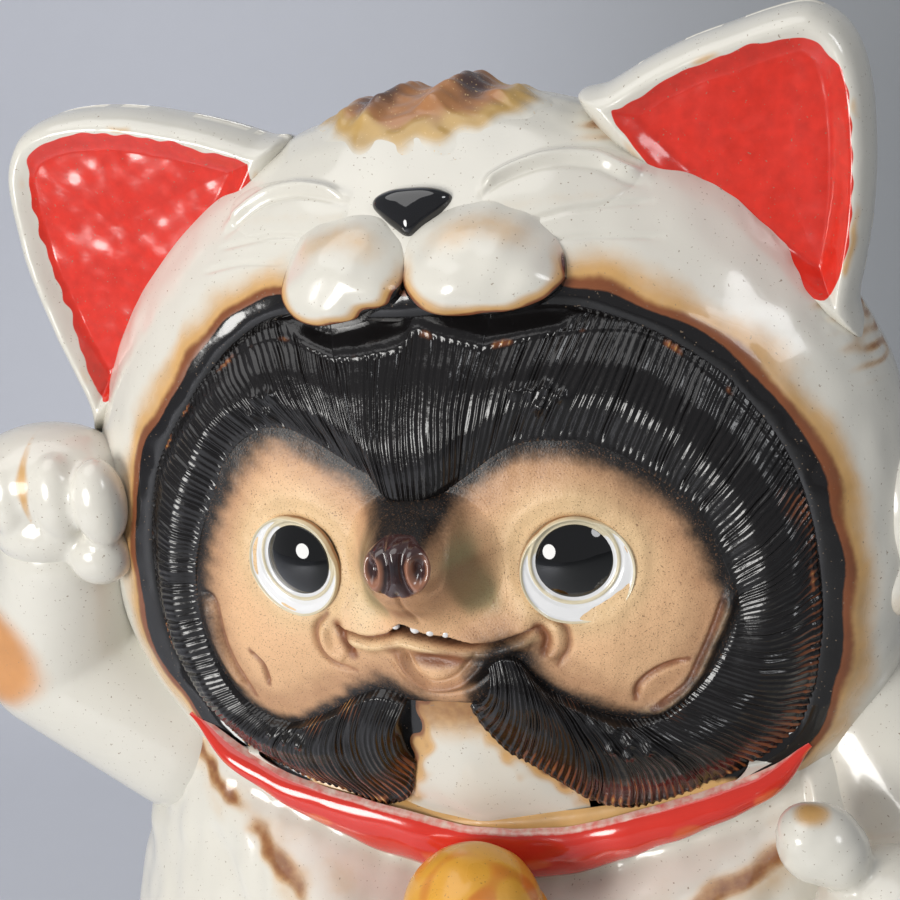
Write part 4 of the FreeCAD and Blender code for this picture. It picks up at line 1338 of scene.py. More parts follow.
@dataclass
class Face:
    """The face plate, the snout, the nose, the lower jaw and the teeth."""

    step: float = 0.36
    snout: tuple[Spot, ...] = ((15.4, 14), (13.4, 21.6), (7.5, 25.2), (0, 25.8), (-7.5, 25.2), (-13.4, 21.6),
                               (-16.6, 14), (-17.5, 6), (-16, -1.5), (-8, -3.5), (0, -3.8), (8, -4.5), (15.5, -3),
                               (16.5, 6))
    jaw: tuple[Spot, ...] = ((-21, -9.6), (-15, -10.4), (-11, -9.7), (-7, -8.8), (-2, -9.7), (5, -11.1), (12, -11),
                             (17.5, -9.8), (20.5, -10), (18.5, -14.5), (13.5, -19), (8, -24.6), (0, -27.8),
                             (-5.5, -26.7), (-10, -22.5), (-15, -18.5), (-20.5, -14.5))
    teeth: tuple[tuple[float, float, float], ...] = ((-8.3, -5.3, 0.95), (-5.9, -4.6, 1.15), (-3.2, -5.0, 1.15),
                                                     (-0.2, -5.9, 1.1), (2.9, -6.6, 1.0))
    tooth_depth: float = 0.75

    def build(self) -> None:
        """Make all the pieces."""
        self.plate()
        self.patch("snout", self.snout, FACE.tip, 190)
        self.patch("lower_jaw", self.jaw, (0.5, -16.0), 90)
        self.nose()
        self.tooth_row()

    def plate(self) -> None:
        """Make the face plate, sunk where the snout and the jaw lie over it."""
        x, z = np.meshgrid(np.arange(-68, 70, self.step), np.arange(-36, 40, self.step), indexing="ij")
        beyond = outside_of(FACE_EDGE, x, z)
        under = smooth_step(-0.6, -2.0, outside_of(self.snout, x, z)) + smooth_step(
            -0.6, -2.0, outside_of(self.jaw, x, z))
        over = -2.2 * smooth_step(0.5, 4.5, beyond) - 1.2 * np.clip(under, 0, 1)
        Piece("face_plate", FACE_CLAY).from_sheets(
            [Sheet(FACE.surface(x, z, over), FACE.masks(x, z), keep=beyond < 5.5)])

    @staticmethod
    def patch(name: str, outline: Sequence[Spot], middle: Spot, columns: int) -> None:
        """Make a piece that continues the face's form.

        Args:
            name: the piece's name.
            outline: its outline.
            middle: the middle of its grid.
            columns: points from the middle to the outline.
        """
        x, z, share = patch_grid(outline, middle, 420, columns)
        over = 0.06 - 0.5 * smooth_step(0.985, 1.0, share)
        Piece(name, FACE_CLAY).from_sheets([Sheet(FACE.surface(x, z, over), FACE.masks(x, z), closed=True)])

    @staticmethod
    def nose() -> None:
        """Make the dark nose over the snout's tip."""
        x, z, share = patch_grid(oval_spots((FACE.tip[0], FACE.tip[1] - 0.8), 7.7, 6.4), FACE.tip, 320, 130)
        over = 0.3 - 0.6 * smooth_step(0.9, 1.0, share)
        across, up = np.abs(x - FACE.tip[0]), z - FACE.tip[1]
        wings = hump(FACE.nostril(across, up), 0.5, 1.0)
        masks = {"plum": 0.45 + 0.4 * share, "tan": np.maximum(1.0 * wings, 0.9 * smooth_step(0.8, 1.0, share)) *
                 smooth_step(4.5, 0, up)}
        Piece("nose", NOSE_GLAZE).from_sheets([Sheet(FACE.surface(x, z, over), masks, closed=True)])

    def tooth_row(self) -> None:
        """Make the five small teeth in their slot."""
        sheets = []
        turn = angles_round(28)
        tilt = np.linspace(0, math.pi, 18)[None, :]
        for px, pz, size in self.teeth:
            middle = FACE.surface(np.array([px]), np.array([pz]), -self.tooth_depth)
            around = spots_at(size * np.sin(tilt) * np.cos(turn), -0.9 * size * np.cos(tilt),
                              size * 0.95 * np.sin(tilt) * np.sin(turn))
            sheets.append(Sheet(middle + around, closed=True))
        Piece("teeth", EYE_WHITE).from_sheets(sheets)


@dataclass
class Eyes:
    """The two black domes with a cream ring, and the bluish crescents about them."""

    radius: float = 8.4
    height: float = 2.7
    lean: float = 0.09
    bed: float = -3.1
    ring_width: float = 1.5
    # For each eye: the way in which its crescent is widest, in degrees, and its width there.
    crescents: dict[Side, tuple[float, float]] = field(default_factory=lambda: {
        Side.RIGHT: (-128.0, 3.6), Side.LEFT: (-80.0, 4.2)})

    def build(self) -> None:
        """Make both eyes and both crescents."""
        for side, (down, reach) in self.crescents.items():
            self.dome(side, EYES[side])
            self.crescent(side, EYES[side], math.radians(down), reach)

    def tilt(self, side: Side, spot: Spot, x: Array) -> Array:
        """Give the slant by which the eye looks a little outward."""
        return -side.value * self.lean * (x - spot[0])

    def dome(self, side: Side, spot: Spot) -> None:
        """Make one eye.

        Args:
            side: which eye.
            spot: the eye's middle.
        """
        turn = angles_round(120)
        share = np.linspace(0, 1, 60)[None, :]
        x = spot[0] + self.radius * np.sin(share * math.pi / 2) * np.cos(turn)
        z = spot[1] + self.radius * np.sin(share * math.pi / 2) * np.sin(turn)
        ball = (self.radius**2 + self.height**2) / (2 * self.height)
        out = distance(spot, x, z)
        rise = -2.4 + np.sqrt(ball**2 - out**2) - (ball - self.height) - 0.8 * smooth_step(7.9, 8.4, out)
        Piece(f"eye_{side.label}", EYE_GLAZE).from_sheets(
            [Sheet(HEAD.front_at(x, z, rise + self.tilt(side, spot, x)), closed=True)])

    def crescent(self, side: Side, spot: Spot, down: float, reach: float) -> None:
        """Make the pale ring and crescent about one eye.

        Args:
            side: which eye.
            spot: the eye's middle.
            down: where the crescent is widest.
            reach: its width there.
        """
        turn = angles_round(240)
        share = np.linspace(0, 1, 60)[None, :]
        inner = self.radius * 0.94
        toward = np.clip(0.5 + 0.62 * np.cos(turn - down), 0, 1)
        outer = self.radius + self.ring_width + reach * toward
        radius = inner + (outer - inner) * share
        x = spot[0] + radius * np.cos(turn)
        z = spot[1] + radius * np.sin(turn)
        out = radius - self.radius
        left = outer - radius
        ring = hump(out, 0.45, 0.7)
        rim = hump(left, 0.45, 0.6)
        bed = smooth_step(0, 0.6, left)
        rise = self.bed + 0.9 * bed + 0.55 * ring + 0.6 * rim + 0.7 * toward * smooth_step(0.8, 2.0, out) * bed
        rise += self.tilt(side, spot, x) * 0.7
        cream = np.clip(np.maximum(ring, rim) * 1.1 + smooth_step(0.35, 0.1, toward), 0, 1)
        Piece(f"eye_white_{side.label}", EYE_WHITE).from_sheets(
            [Sheet(HEAD.front_at(x, z, rise), {"cream": cream, "line": 0.9 * smooth_step(0.5, 0.05, left)},
                   closed=True)])


@dataclass
class CatFace:
    """The small closed-eyed cat face on the hood: two pads, a nose and two eyelids."""

    pads: dict[Side, tuple[Spot, ...]] = field(default_factory=lambda: {
        Side.RIGHT: ((-29.4, 67.7), (-27.0, 74.6), (-22.4, 78), (-15, 79.6), (-8.2, 79), (-3.4, 76), (-0.6, 71.0),
                     (0.0, 64.8), (-2.2, 61.2), (-7.5, 59.4), (-12.4, 57.6), (-19.5, 56.8), (-25.4, 58.4),
                     (-28.8, 62.6)),
        Side.LEFT: ((-1.8, 64.8), (-1.9, 71.0), (0.2, 75.4), (5.0, 78.1), (9.9, 79.8), (16.4, 80.1), (22.1, 78.6),
                    (27.2, 75.6), (31.8, 70.3), (33.0, 65), (31.4, 61), (27, 58.9), (19.6, 57.6), (13.3, 57.5),
                    (5.6, 58.2), (0.4, 60.8))})
    plump: float = 7.2
    undercut: float = 3.6
    middles: dict[Side, Spot] = field(default_factory=lambda: {Side.RIGHT: (-14.6, 66.5), Side.LEFT: (16.0, 66.8)})
    nose_outline: tuple[Spot, ...] = ((-8.9, 80.4), (-8.5, 82.0), (-5.4, 83.2), (-1.1, 83.5), (3.7, 83.3),
                                      (7.0, 82.4), (8.4, 81.0), (6.4, 78.5), (3.0, 76.2), (-0.4, 74.3),
                                      (-3.9, 76.2), (-6.9, 78.5))

    def build(self) -> None:
        """Make the pads, the nose and the eyelids."""
        for side in Side:
            self.pad(side)
            self.eyelid(side)
        self.nose()

    def pad(self, side: Side) -> None:
        """Make one whisker pad, plump over the lip and dark underneath.

        Args:
            side: which pad.
        """
        middle = self.middles[side]
        x, z, share = patch_grid(self.pads[side], middle, 320, 130, 0.85)
        slope = (z - middle[1]) / np.maximum(distance(middle, x, z), 0.1)
        lower = smooth_step(0.55, -0.35, slope)
        form = (1 - share**2.0) ** (1.15 - 0.72 * lower)
        flat = spots_at(x, z, 0)
        rise = -0.5 + self.plump * form - self.undercut * lower * smooth_step(0.93, 1.0, share)
        rise = rise + 0.25 * unevenness(flat, 9.0, 61)
        ends = np.where(slope < -0.2, 1.0, 0.0) * smooth_step(0.90, 1.0, share)
        edge = share + 0.035 * unevenness(flat, 6.0, 63)
        soot = lower * smooth_step(0.885, 0.93, edge)
        rust = lower * smooth_step(0.82, 0.91, edge)
        gold = lower * smooth_step(0.66, 0.88, edge)
        top = 0.55 * smooth_step(-0.2, 0.8, slope) * hump(share, 0.3, 0.55)
        z = z + 0.9 * ends
        masks = {"soot": soot, "gold": np.maximum(gold, top), "rust": rust}
        Piece(f"cat_pad_{side.label}", HOOD_GLAZE).from_sheets(
            [Sheet(HEAD.front_at(x, z, rise), masks, closed=True)])

    def nose(self) -> None:
        """Make the cat's three-cornered nose."""
        x, z, share = patch_grid(self.nose_outline, (-0.2, 80.3), 260, 70, 0.8)
        rise = -0.6 + 3.3 * np.clip(1 - share**2.6, 0, 1) ** 0.55
        Piece("cat_nose", NOSE_GLAZE).from_sheets([Sheet(HEAD.front_at(x, z, rise), closed=True)])

    @staticmethod
    def eyelid(side: Side) -> None:
        """Make one closed eyelid, a low swelling under its lash line.

        Args:
            side: which eyelid.
        """
        turn = angles_round(200)
        share = np.linspace(0, 1, 90)[None, :]
        x = side.value * 30 + 18.5 * share * np.cos(turn)
        z = 81.0 + side.value * 0.8 + 7.0 * share * np.sin(turn)
        rise = Hood().marks(HEAD.front_at(x, z), x, z)
        rise += 0.9 * np.cos(share * math.pi / 2) ** 1.2 - 0.45 * smooth_step(0.75, 1, share)
        masks = {"gold": 0.22 * smooth_step(1.0, 0.75, share) * hump(z, 1.6, 78.5)}
        Piece(f"cat_closed_eye_{side.label}", HOOD_GLAZE).from_sheets(
            [Sheet(HEAD.front_at(x, z, rise), masks, closed=True)])


@dataclass
class Ear:
    """A thick ear: a white rounded rim about a red hollow, and a full white back."""

    side: Side
    outline: tuple[Spot, ...]
    panel: tuple[Spot, ...]
    middle: Spot
    rim: float = 5.0
    front: float = -16.0
    edge: float = -4.0
    back: float = 12.5
    back_round: float = 26.0
    hollow: float = 3.2

    def build(self) -> None:
        """Make the ear as one skin, front and back."""
        line = evenly(np.vstack([curve_through(self.outline, 900, closed=True)]), 420)
        share = np.linspace(0, 1, 110)[None, :, None]
        centre = np.array(self.middle)
        spots = centre + (line[:, None, :] - centre) * share
        x, z = spots[..., 0], spots[..., 1]
        inside = np.maximum(-outside_of(self.outline, x, z), 0)
        painted = -outside_of(self.panel, x, z)
        roll = np.sqrt(np.clip(1 - (1 - np.clip(inside / self.rim, 0, 1)) ** 2, 0, 1))
        flat = spots_at(x, z, 0 * x)
        uneven = 0.5 * unevenness(flat, 20.0, 71) + 0.15 * unevenness(flat, 6.0, 72)
        dish = smooth_step(self.rim * 0.8, self.rim * 1.9, inside)
        y_front = self.edge + (self.front - self.edge) * roll + dish * (self.hollow + 0.03 * inside) + uneven * 0.35
        y_front -= dish * 0.07 * (z - self.middle[1])
        full = np.sqrt(np.clip(1 - (1 - np.clip(inside / self.back_round, 0, 1)) ** 2, 0, 1))
        y_back = self.edge + (self.back - self.edge) * full
        points = np.concatenate([spots_at(x, y_front, z + HEAD_HEIGHT),
                                 spots_at(x, y_back + uneven * 0.5, z + HEAD_HEIGHT)[:, ::-1]], axis=1)
        red = np.concatenate([painted + 0.35 * unevenness(flat, 7.0, 73), np.full(x.shape, -9.0)], axis=1)
        cloud = unevenness(np.concatenate([flat, flat], axis=1), 15.0, 74)
        edge = hump(red, 1.0, -0.5) * smooth_step(0.1, 0.8, cloud)
        Piece(f"ear_{self.side.label}", HOOD_GLAZE).from_sheets(
            [Sheet(points, {"red": np.maximum(red, 0), "gold": 0.8 * edge}, closed=True)])


RIGHT_EAR = Ear(Side.RIGHT, (
    (-34.7, 91.8), (-40.9, 95.2), (-50.9, 99), (-61.4, 101.9), (-71.9, 104.2), (-82.9, 105.1), (-91.8, 104.3),
    (-99.4, 101.5), (-103.7, 96.7), (-105.9, 90.8), (-106.2, 82.6), (-105.8, 73.1), (-104, 62.7), (-101.3, 52.3),
    (-97.8, 41.2), (-95.6, 34.4), (-95.0, 26), (-84, 34), (-66, 52), (-48, 72)), (
    (-41.2, 88.3), (-42.7, 90.9), (-51.9, 93.8), (-59.5, 96.5), (-72.6, 99.3), (-85.2, 100.1), (-93.7, 97.6),
    (-97.3, 94.7), (-98.6, 89.7), (-98.7, 81), (-97.5, 69), (-95.6, 58.4), (-93.4, 47), (-91.3, 39.9), (-88.3, 36),
    (-78, 42), (-60, 60), (-44, 78)), (-78.0, 74.0))
LEFT_EAR = Ear(Side.LEFT, (
    (31.8, 96.4), (38.7, 99.5), (47.2, 103.5), (56.2, 106.8), (65, 109), (71.6, 110.6), (77.8, 111.5), (82, 110.7),
    (86.5, 107.5), (89.6, 102.3), (91.4, 94.6), (91.9, 85.1), (91.7, 76.6), (90.8, 67.7), (89.2, 58.9), (87.6, 50.8),
    (88, 42), (76, 50), (60, 64), (44, 80)), (
    (40.1, 92.9), (42.5, 94.9), (46.6, 96.9), (53.1, 100.3), (61.1, 103), (68.9, 104.9), (76, 105.4), (80, 104.6),
    (83.9, 101.6), (86.6, 97.5), (87.3, 92.4), (87.7, 85.4), (87.3, 75.6), (86.7, 65.6), (85.2, 60), (80, 52),
    (66, 62), (50, 78)), (70.0, 82.0))


@dataclass
class Tuft:
    """The ochre lock of hair on the crown, three low ridges with dark valleys between them."""

    ridges: tuple[tuple[tuple[Spot, ...], float, float], ...] = (
        (((-20, 6), (-18.5, -3), (-22, -13)), 3.0, 1.5), (((-6.5, 8), (-8.5, -1), (-12.5, -9), (-14, -17)), 2.8, 2.3),
        (((9, 9), (6.0, -1), (3.0, -9), (1.0, -15)), 3.6, 3.2), (((20, 8), (19, -2), (14, -9)), 3.2, 1.2))

    def build(self) -> None:
        """Make the tuft as one skin over the crown."""
        x, y = np.meshgrid(np.linspace(-30, 27, 340), np.linspace(-26, 20, 260), indexing="ij")
        flat = spots_at(x, y, 0)
        depth = np.where(y < 0, HEAD.front, HEAD.back)
        drop = np.sqrt(np.clip(1 - (x / HEAD.radius) ** 2 - (y / depth) ** 2, 0, 1)) * HEAD.radius
        oval = np.hypot((x + 2) / 27.5, (y + 3) / 20.5) + 0.05 * unevenness(flat, 9.0, 82)
        inside = smooth_step(1.0, 0.72, oval)
        locks = sum(ridge(line, x, y, width, height) for line, width, height in self.ridges)
        locks = (locks + 0.9 + 0.25 * unevenness(flat, 5.0, 81)) * inside - 0.35 * smooth_step(0.95, 1.02, oval)
        dark = bulge(x, y, (-13, -4), 6.5, 9, 1) + bulge(x, y, (8.5, -3), 5, 9, 1)
        masks = {"soot": np.clip(0.95 * dark, 0, 1), "cream": smooth_step(0.74, 0.98, oval),
                 "gold": smooth_step(0.5, 0.85, oval)}
        Piece("crown_tuft", AMBER_GLAZE).from_sheets(
            [Sheet(spots_at(x, y, drop + locks + HEAD_HEIGHT), masks, keep=oval < 1.04)])


@dataclass
class Neck:
    """What lies under the chin: the pale throat, the red collar and the bell."""

    upper: tuple[Spot, ...] = ((-73.5, -40.0), (-67, -42.3), (-48.7, -50.4), (-32, -54.0), (-15.9, -57.2),
                               (-0.1, -60.8), (20.6, -60.4), (36, -56.6), (51.6, -52.6), (66, -48), (74.0, -43.5))
    lower: tuple[Spot, ...] = ((-73.8, -40.6), (-66, -47.5), (-55, -54.5), (-44.3, -61.0), (-20.8, -72.8),
                               (-4, -76.4), (12.7, -76.6), (27, -72.4), (39.1, -67.1), (65.8, -54.9), (74.6, -44.5))
    tuft_edge: tuple[Spot, ...] = ((-19, -66), (-14, -50), (-10, -40), (-7, -32), (-4.5, -24), (3.5, -24),
                                   (6.5, -29), (11, -37), (19, -46), (27, -54), (29, -66))
    bell: tuple[float, float, float] = (3.2, -57.0, 228.6)
    bell_radius: float = 15.6
    band_height: float = 1.2
    slit_depth: float = 1.9
    slit_end_depth: float = 1.6
    most_depth: float = 2.2
    collar_round: float = 5.0
    throat_drop: float = 3.4

    def build(self) -> None:
        """Make all three."""
        self.throat()
        self.collar()
        self.make_bell()

    def throat(self) -> None:
        """Make the smooth pale throat between the chin tufts, inside the tufts' edge."""
        x, z = np.meshgrid(np.linspace(-26.5, 27, 220), np.linspace(-65.5, -23, 180), indexing="ij")
        flat = spots_at(x, z, 0 * x)
        rise = np.full(x.shape, -self.throat_drop) + 0.2 * unevenness(flat, 12.0, 91)
        rise += bulge(x, z, (0.2, -50), 13, 16, 2.6)
        inner = outside_of(self.tuft_edge, x, z) + 1.2 * unevenness(flat, 6.0, 92)
        high = smooth_step(-42, -28, z)
        masks = {"rust": np.maximum(0.75 * smooth_step(-2.2, 0.8, inner), 0.6 * high),
                 "gold": np.maximum(smooth_step(-5.5, -0.8, inner), high) * 0.9, "soot": smooth_step(0.6, 2.4, inner)}
        Piece("throat", HOOD_GLAZE).from_sheets([Sheet(HEAD.front_at(x, z, rise), masks)])

    def collar(self) -> None:
        """Make the round red collar with its pale lower border."""
        upper = evenly(curve_through(self.upper, 600), 420)
        lower = evenly(curve_through(self.lower, 600), 420)
        share = np.linspace(0, 1, 70)[None, :, None]
        spots = upper[:, None, :] + (lower - upper)[:, None, :] * share
        x, z = spots[..., 0], spots[..., 1]
        across = share[..., 0] + 0 * x
        along = np.linspace(0, 1, 420)[:, None]
        thick = smooth_step(0, 0.10, along) * smooth_step(0, 0.10, 1 - along)
        rise = self.collar_round * np.sqrt(np.clip(1 - (2 * across - 1) ** 2, 0, 1)) * (0.35 + 0.65 * thick) - 0.6
        flat = spots_at(x, z, 0 * x)
        rise += 0.25 * unevenness(flat, 13.0, 95)
        cloud = unevenness(flat * (1, 3, 1), 22.0, 96)
        masks = {"orange": smooth_step(-0.2, 1.0, cloud) * smooth_step(0.1, 0.5, across),
                 "cream": smooth_step(0.90, 0.96, across + 0.015 * unevenness(flat, 5.0, 97))
                 + 0.5 * smooth_step(0.08, 0.02, across)}
        Piece("collar", RED_GLAZE).from_sheets([Sheet(HEAD.front_at(x, z, rise), masks)])

    def make_bell(self) -> None:
        """Make the round bell with its raised band and its slit."""
        turn = angles_round(240)
        tilt = np.linspace(0, math.pi, 150)[None, :]
        way = spots_at(np.sin(tilt) * np.cos(turn), np.sin(tilt) * np.sin(turn), np.cos(tilt) + 0 * turn)
        height = way[..., 2] * self.bell_radius
        across = way[..., 0] * self.bell_radius
        band = self.band_height * np.exp(-((height + 1.0) / 1.3) ** 4)
        slit = self.slit_depth * np.exp(-(across / 1.3) ** 4) * smooth_step(-2.5, -5.0, height)
        slit += self.slit_end_depth * np.exp(-(np.hypot(across, height + 4.5) / 2.6) ** 4) * (way[..., 1] < 0)
        radius = self.bell_radius + band - np.minimum(slit, self.most_depth) * (way[..., 1] < 0.3)
        points = way * radius[..., None]
        points += way * 0.25 * unevenness(points, 11.0, 98)[..., None]
        cloud = unevenness(points, 13.0, 99)
        masks = {"orange": smooth_step(-0.2, 0.9, cloud)}
        Piece("bell", BELL_GLAZE).from_sheets(
            [Sheet(points + np.array(self.bell), masks, closed=True)])


@dataclass
class Body:
    """The pear-shaped body in its suit, and the slab that closes it below."""

    heights: tuple[float, ...] = (0.0, 37.0, 105.0, 179.5, 254.0)
    widths: tuple[float, ...] = (92.0, 110.7, 120.0, 114.3, 94.0)
    depths: tuple[float, ...] = (70.0, 83.3, 90.0, 73.5, 47.0)
    shifts: tuple[float, ...] = (0.0, 0.0, 0.0, 2.5, 9.0)
    chest: float = 190.0
    hole_place: float = 34.0
    # Outlines of the slab: half width, half depth and height in turn, and the hole's radius and height.
    slab_rings: tuple[tuple[float, float, float], ...] = (
        (88.0, 64.0, 7.6), (89.3, 65.2, 6.0), (89.4, 65.3, 2.0), (88.8, 64.7, 0.5), (87.6, 63.5, 0.0))
    hole_rings: tuple[Spot, ...] = ((20.6, 0.0), (20.0, 0.6), (20.0, 7.4), (20.6, 7.6))
    pleats: tuple[tuple[tuple[Spot, ...], float, float], ...] = (
        (((-112, -40), (-104, -58), (-92, -74)), 3.0, -1.6), (((-116, -52), (-108, -68), (-96, -84)), 4, 1.2),
        (((-74, -68), (-60, -84), (-52, -104)), 3.0, -1.0), (((-40, -84), (-34, -98), (-32, -116)), 3.4, -1.0),
        (((44, -80), (40, -96), (40, -112)), 3.2, -1.0), (((70, -66), (66, -84), (68, -104)), 3.2, -1.1),
        (((10, -94), (6, -104), (6, -118)), 2.6, -0.7), (((-96, -190), (-70, -175), (-58, -205)), 5, -1.4),
        (((96, -190), (70, -175), (58, -205)), 5, -1.4))
    stripe: tuple[Spot, ...] = ((-96, -26), (-84, -44), (-71, -57), (-58, -66), (-44, -75), (-22, -85), (0, -89),
                                (14, -89), (30, -84), (48, -77), (72, -66))

    def build(self) -> None:
        """Make both halves and the slab."""
        for name, low, high in (("body_front", math.pi, 2 * math.pi), ("body_back", 0.0, math.pi)):
            self.half(name, low, high)
        self.slab()

    def top_edge(self, turn: Array, knots: Array) -> Array:
        """Find where the front ends, along the collar's lower line.

        Args:
            turn: angles round the body.
            knots: the body's height, half width, half depth and shift, in rows.

        Returns:
            The height of the edge at each angle.
        """
        top = np.full(turn.shape, self.heights[-1])
        line = curve_through(Neck().lower, 400)
        for _ in range(12):
            edge = np.interp(top, knots[:, 0], knots[:, 1]) * np.cos(turn)
            below = np.interp(edge, line[:, 0], line[:, 1], -40, -40)
            top = np.minimum(self.heights[-1], HEAD_HEIGHT + 0.5 + below)
        return top

    def half(self, name: str, low: float, high: float) -> None:
        """Make one half of the body.

        Args:
            name: the piece's name.
            low: angle where the half starts.
            high: angle where it ends.
        """
        crown = self.heights[-1]
        levels = np.concatenate([[0, 0, 1.2, 3.5], np.linspace(6, crown, 330), [255.5, 256.6, 257.0]])[None, :]
        inset = np.concatenate([[20, 2.6, 0.8, 0.1], np.zeros(330), [1.5, 4.5, 12.0]])
        knots = curve_through(list(zip(self.heights, self.widths, self.depths, self.shifts)), 400)
        turn = np.linspace(low, high, 620)[:, None]
        top = self.top_edge(turn, knots) if name == "body_front" else np.full(turn.shape, crown)
        z = np.where(levels < self.chest, levels,
                     self.chest + (levels - self.chest) * (top - self.chest) / (crown - self.chest))
        z = np.where(levels > crown, top + levels - crown, z)
        width = np.interp(z, knots[:, 0], knots[:, 1]) - inset
        depth = np.interp(z, knots[:, 0], knots[:, 2]) - inset
        x = width * np.cos(turn)
        y = np.interp(z, knots[:, 0], knots[:, 3]) + depth * np.sin(turn)
        lean = smooth_step(17, 0, top - z) ** 1.4 * smooth_step(253.5, 250.0, top)
        y = y + (HEAD.front_at(x, np.minimum(z, top) - HEAD_HEIGHT, 1.0)[..., 1] - y) * lean
        points = spots_at(x, y, z)
        away = spots_at(np.cos(turn) / width, np.sin(turn) / depth, 0 * z)
        away /= np.linalg.norm(away, axis=-1, keepdims=True)
        rise = 0.9 * unevenness(points, 45.0, 101) + 0.2 * unevenness(points, 12.0, 102) - 0.5
        if name == "body_front":
            rise = rise + self.folds(points, x, z - HEAD_HEIGHT)
        points = points + away * (rise * smooth_step(0.5, 5, z))[..., None]
        front = (np.sin(turn) < -0.05) + 0 * z
        masks = self.masks(points, x, z, front) | {"orange": self.patches(points, name)}
        Piece(name, HOOD_GLAZE).from_sheets([Sheet(points, masks)])

    def masks(self, points: Array, x: Array, z: Array, front: Array) -> dict[str, Array]:
        """Paint the stain beside the collar and the thin glaze at the foot.

        Args:
            points: places in the object's frame.
            x: places across on the plain body.
            z: places up on the plain body.
            front: 1 where the stain may lie.

        Returns:
            The masks.
        """
        gap, share = line_distance(self.stripe, x, z - HEAD_HEIGHT)
        gap = gap + 0.9 * unevenness(points, 9.0, 104)
        broken = smooth_step(-1.7, -0.2, unevenness(points, 16.0, 105)) * smooth_step(0, 0.05, share)
        line = hump(gap, 2.6) * broken * front
        wash = 0.5 * hump(gap, 7.0) * front * (0.6 + 0.6 * unevenness(points, 12.0, 108))
        foot = smooth_step(7.5, 4.5, z + 1.2 * unevenness(points, 20.0, 106))
        return {"gold": np.maximum(np.maximum(0.95 * line, wash), 0.25 * foot), "rust": 0.75 * line}

    def folds(self, points: Array, x: Array, z: Array) -> Array:
        """Give the rise of the suit's pleats and creases.

        Args:
            points: places in the object's frame.
            x: places across.
            z: places up from the head's centre.

        Returns:
            Heights over the plain body.
        """
        rise = np.zeros(x.shape)
        for line, width, height in self.pleats:
            rise = rise + ridge(line, x, z, width, height)
        return rise + 0.35 * unevenness(points * (3, 1, 0.5), 30.0, 103) * smooth_step(-140, -90, z)

    @staticmethod
    def patches(points: Array, name: str) -> Array:
        """Paint the sprayed orange-brown patches of the cat's coat.

        Args:
            points: places in the object's frame.
            name: the half that they are on.

        Returns:
            The mask.
        """
        x, y, z = points[..., 0], points[..., 1], points[..., 2]
        wander = 0.16 * unevenness(points, 22.0, 107)
        if name == "body_back":
            spot = np.sqrt(((x - 48) / 46) ** 2 + ((z - 150) / 44) ** 2)
        else:
            spot = np.sqrt(((np.abs(x) - 112) / 24) ** 2 + ((z - 96) / 34) ** 2 + ((y + 20) / 60) ** 2) + (x > 0) * 9
        return smooth_step(1.05, 0.72, spot + wander)

    def slab(self) -> None:
        """Make the bare slab with its firing hole."""
        turn = angles_round(360)
        outer = [spots_at(width * np.cos(turn), depth * np.sin(turn), height + 0 * turn)
                 for width, depth, height in self.slab_rings]
        inner = [spots_at(radius * np.cos(turn), self.hole_place + radius * np.sin(turn), height + 0 * turn)
                 for radius, height in self.hole_rings]
        points = np.concatenate([*outer, *inner, outer[0]], axis=1)
        Piece("base_slab", BARE_CLAY).from_sheets([Sheet(points, closed=True)])


def limb(start: Sequence[float], thick: float, end: Sequence[float], thin: float, count: int = 9) -> list[Blob]:
    """Lay round forms along a limb.

    Args:
        start: where it starts.
        thick: its radius there.
        end: where it ends.
        thin: its radius there.
        count: number of forms.

    Returns:
        The forms.
    """
    blobs = []
    for share in np.linspace(0, 1, count):
        spot = [a + (b - a) * share for a, b in zip(start, end)]
        radius = thick + (thin - thick) * share
        blobs.append(Blob(tuple(spot), (radius, radius, radius)))
    return blobs


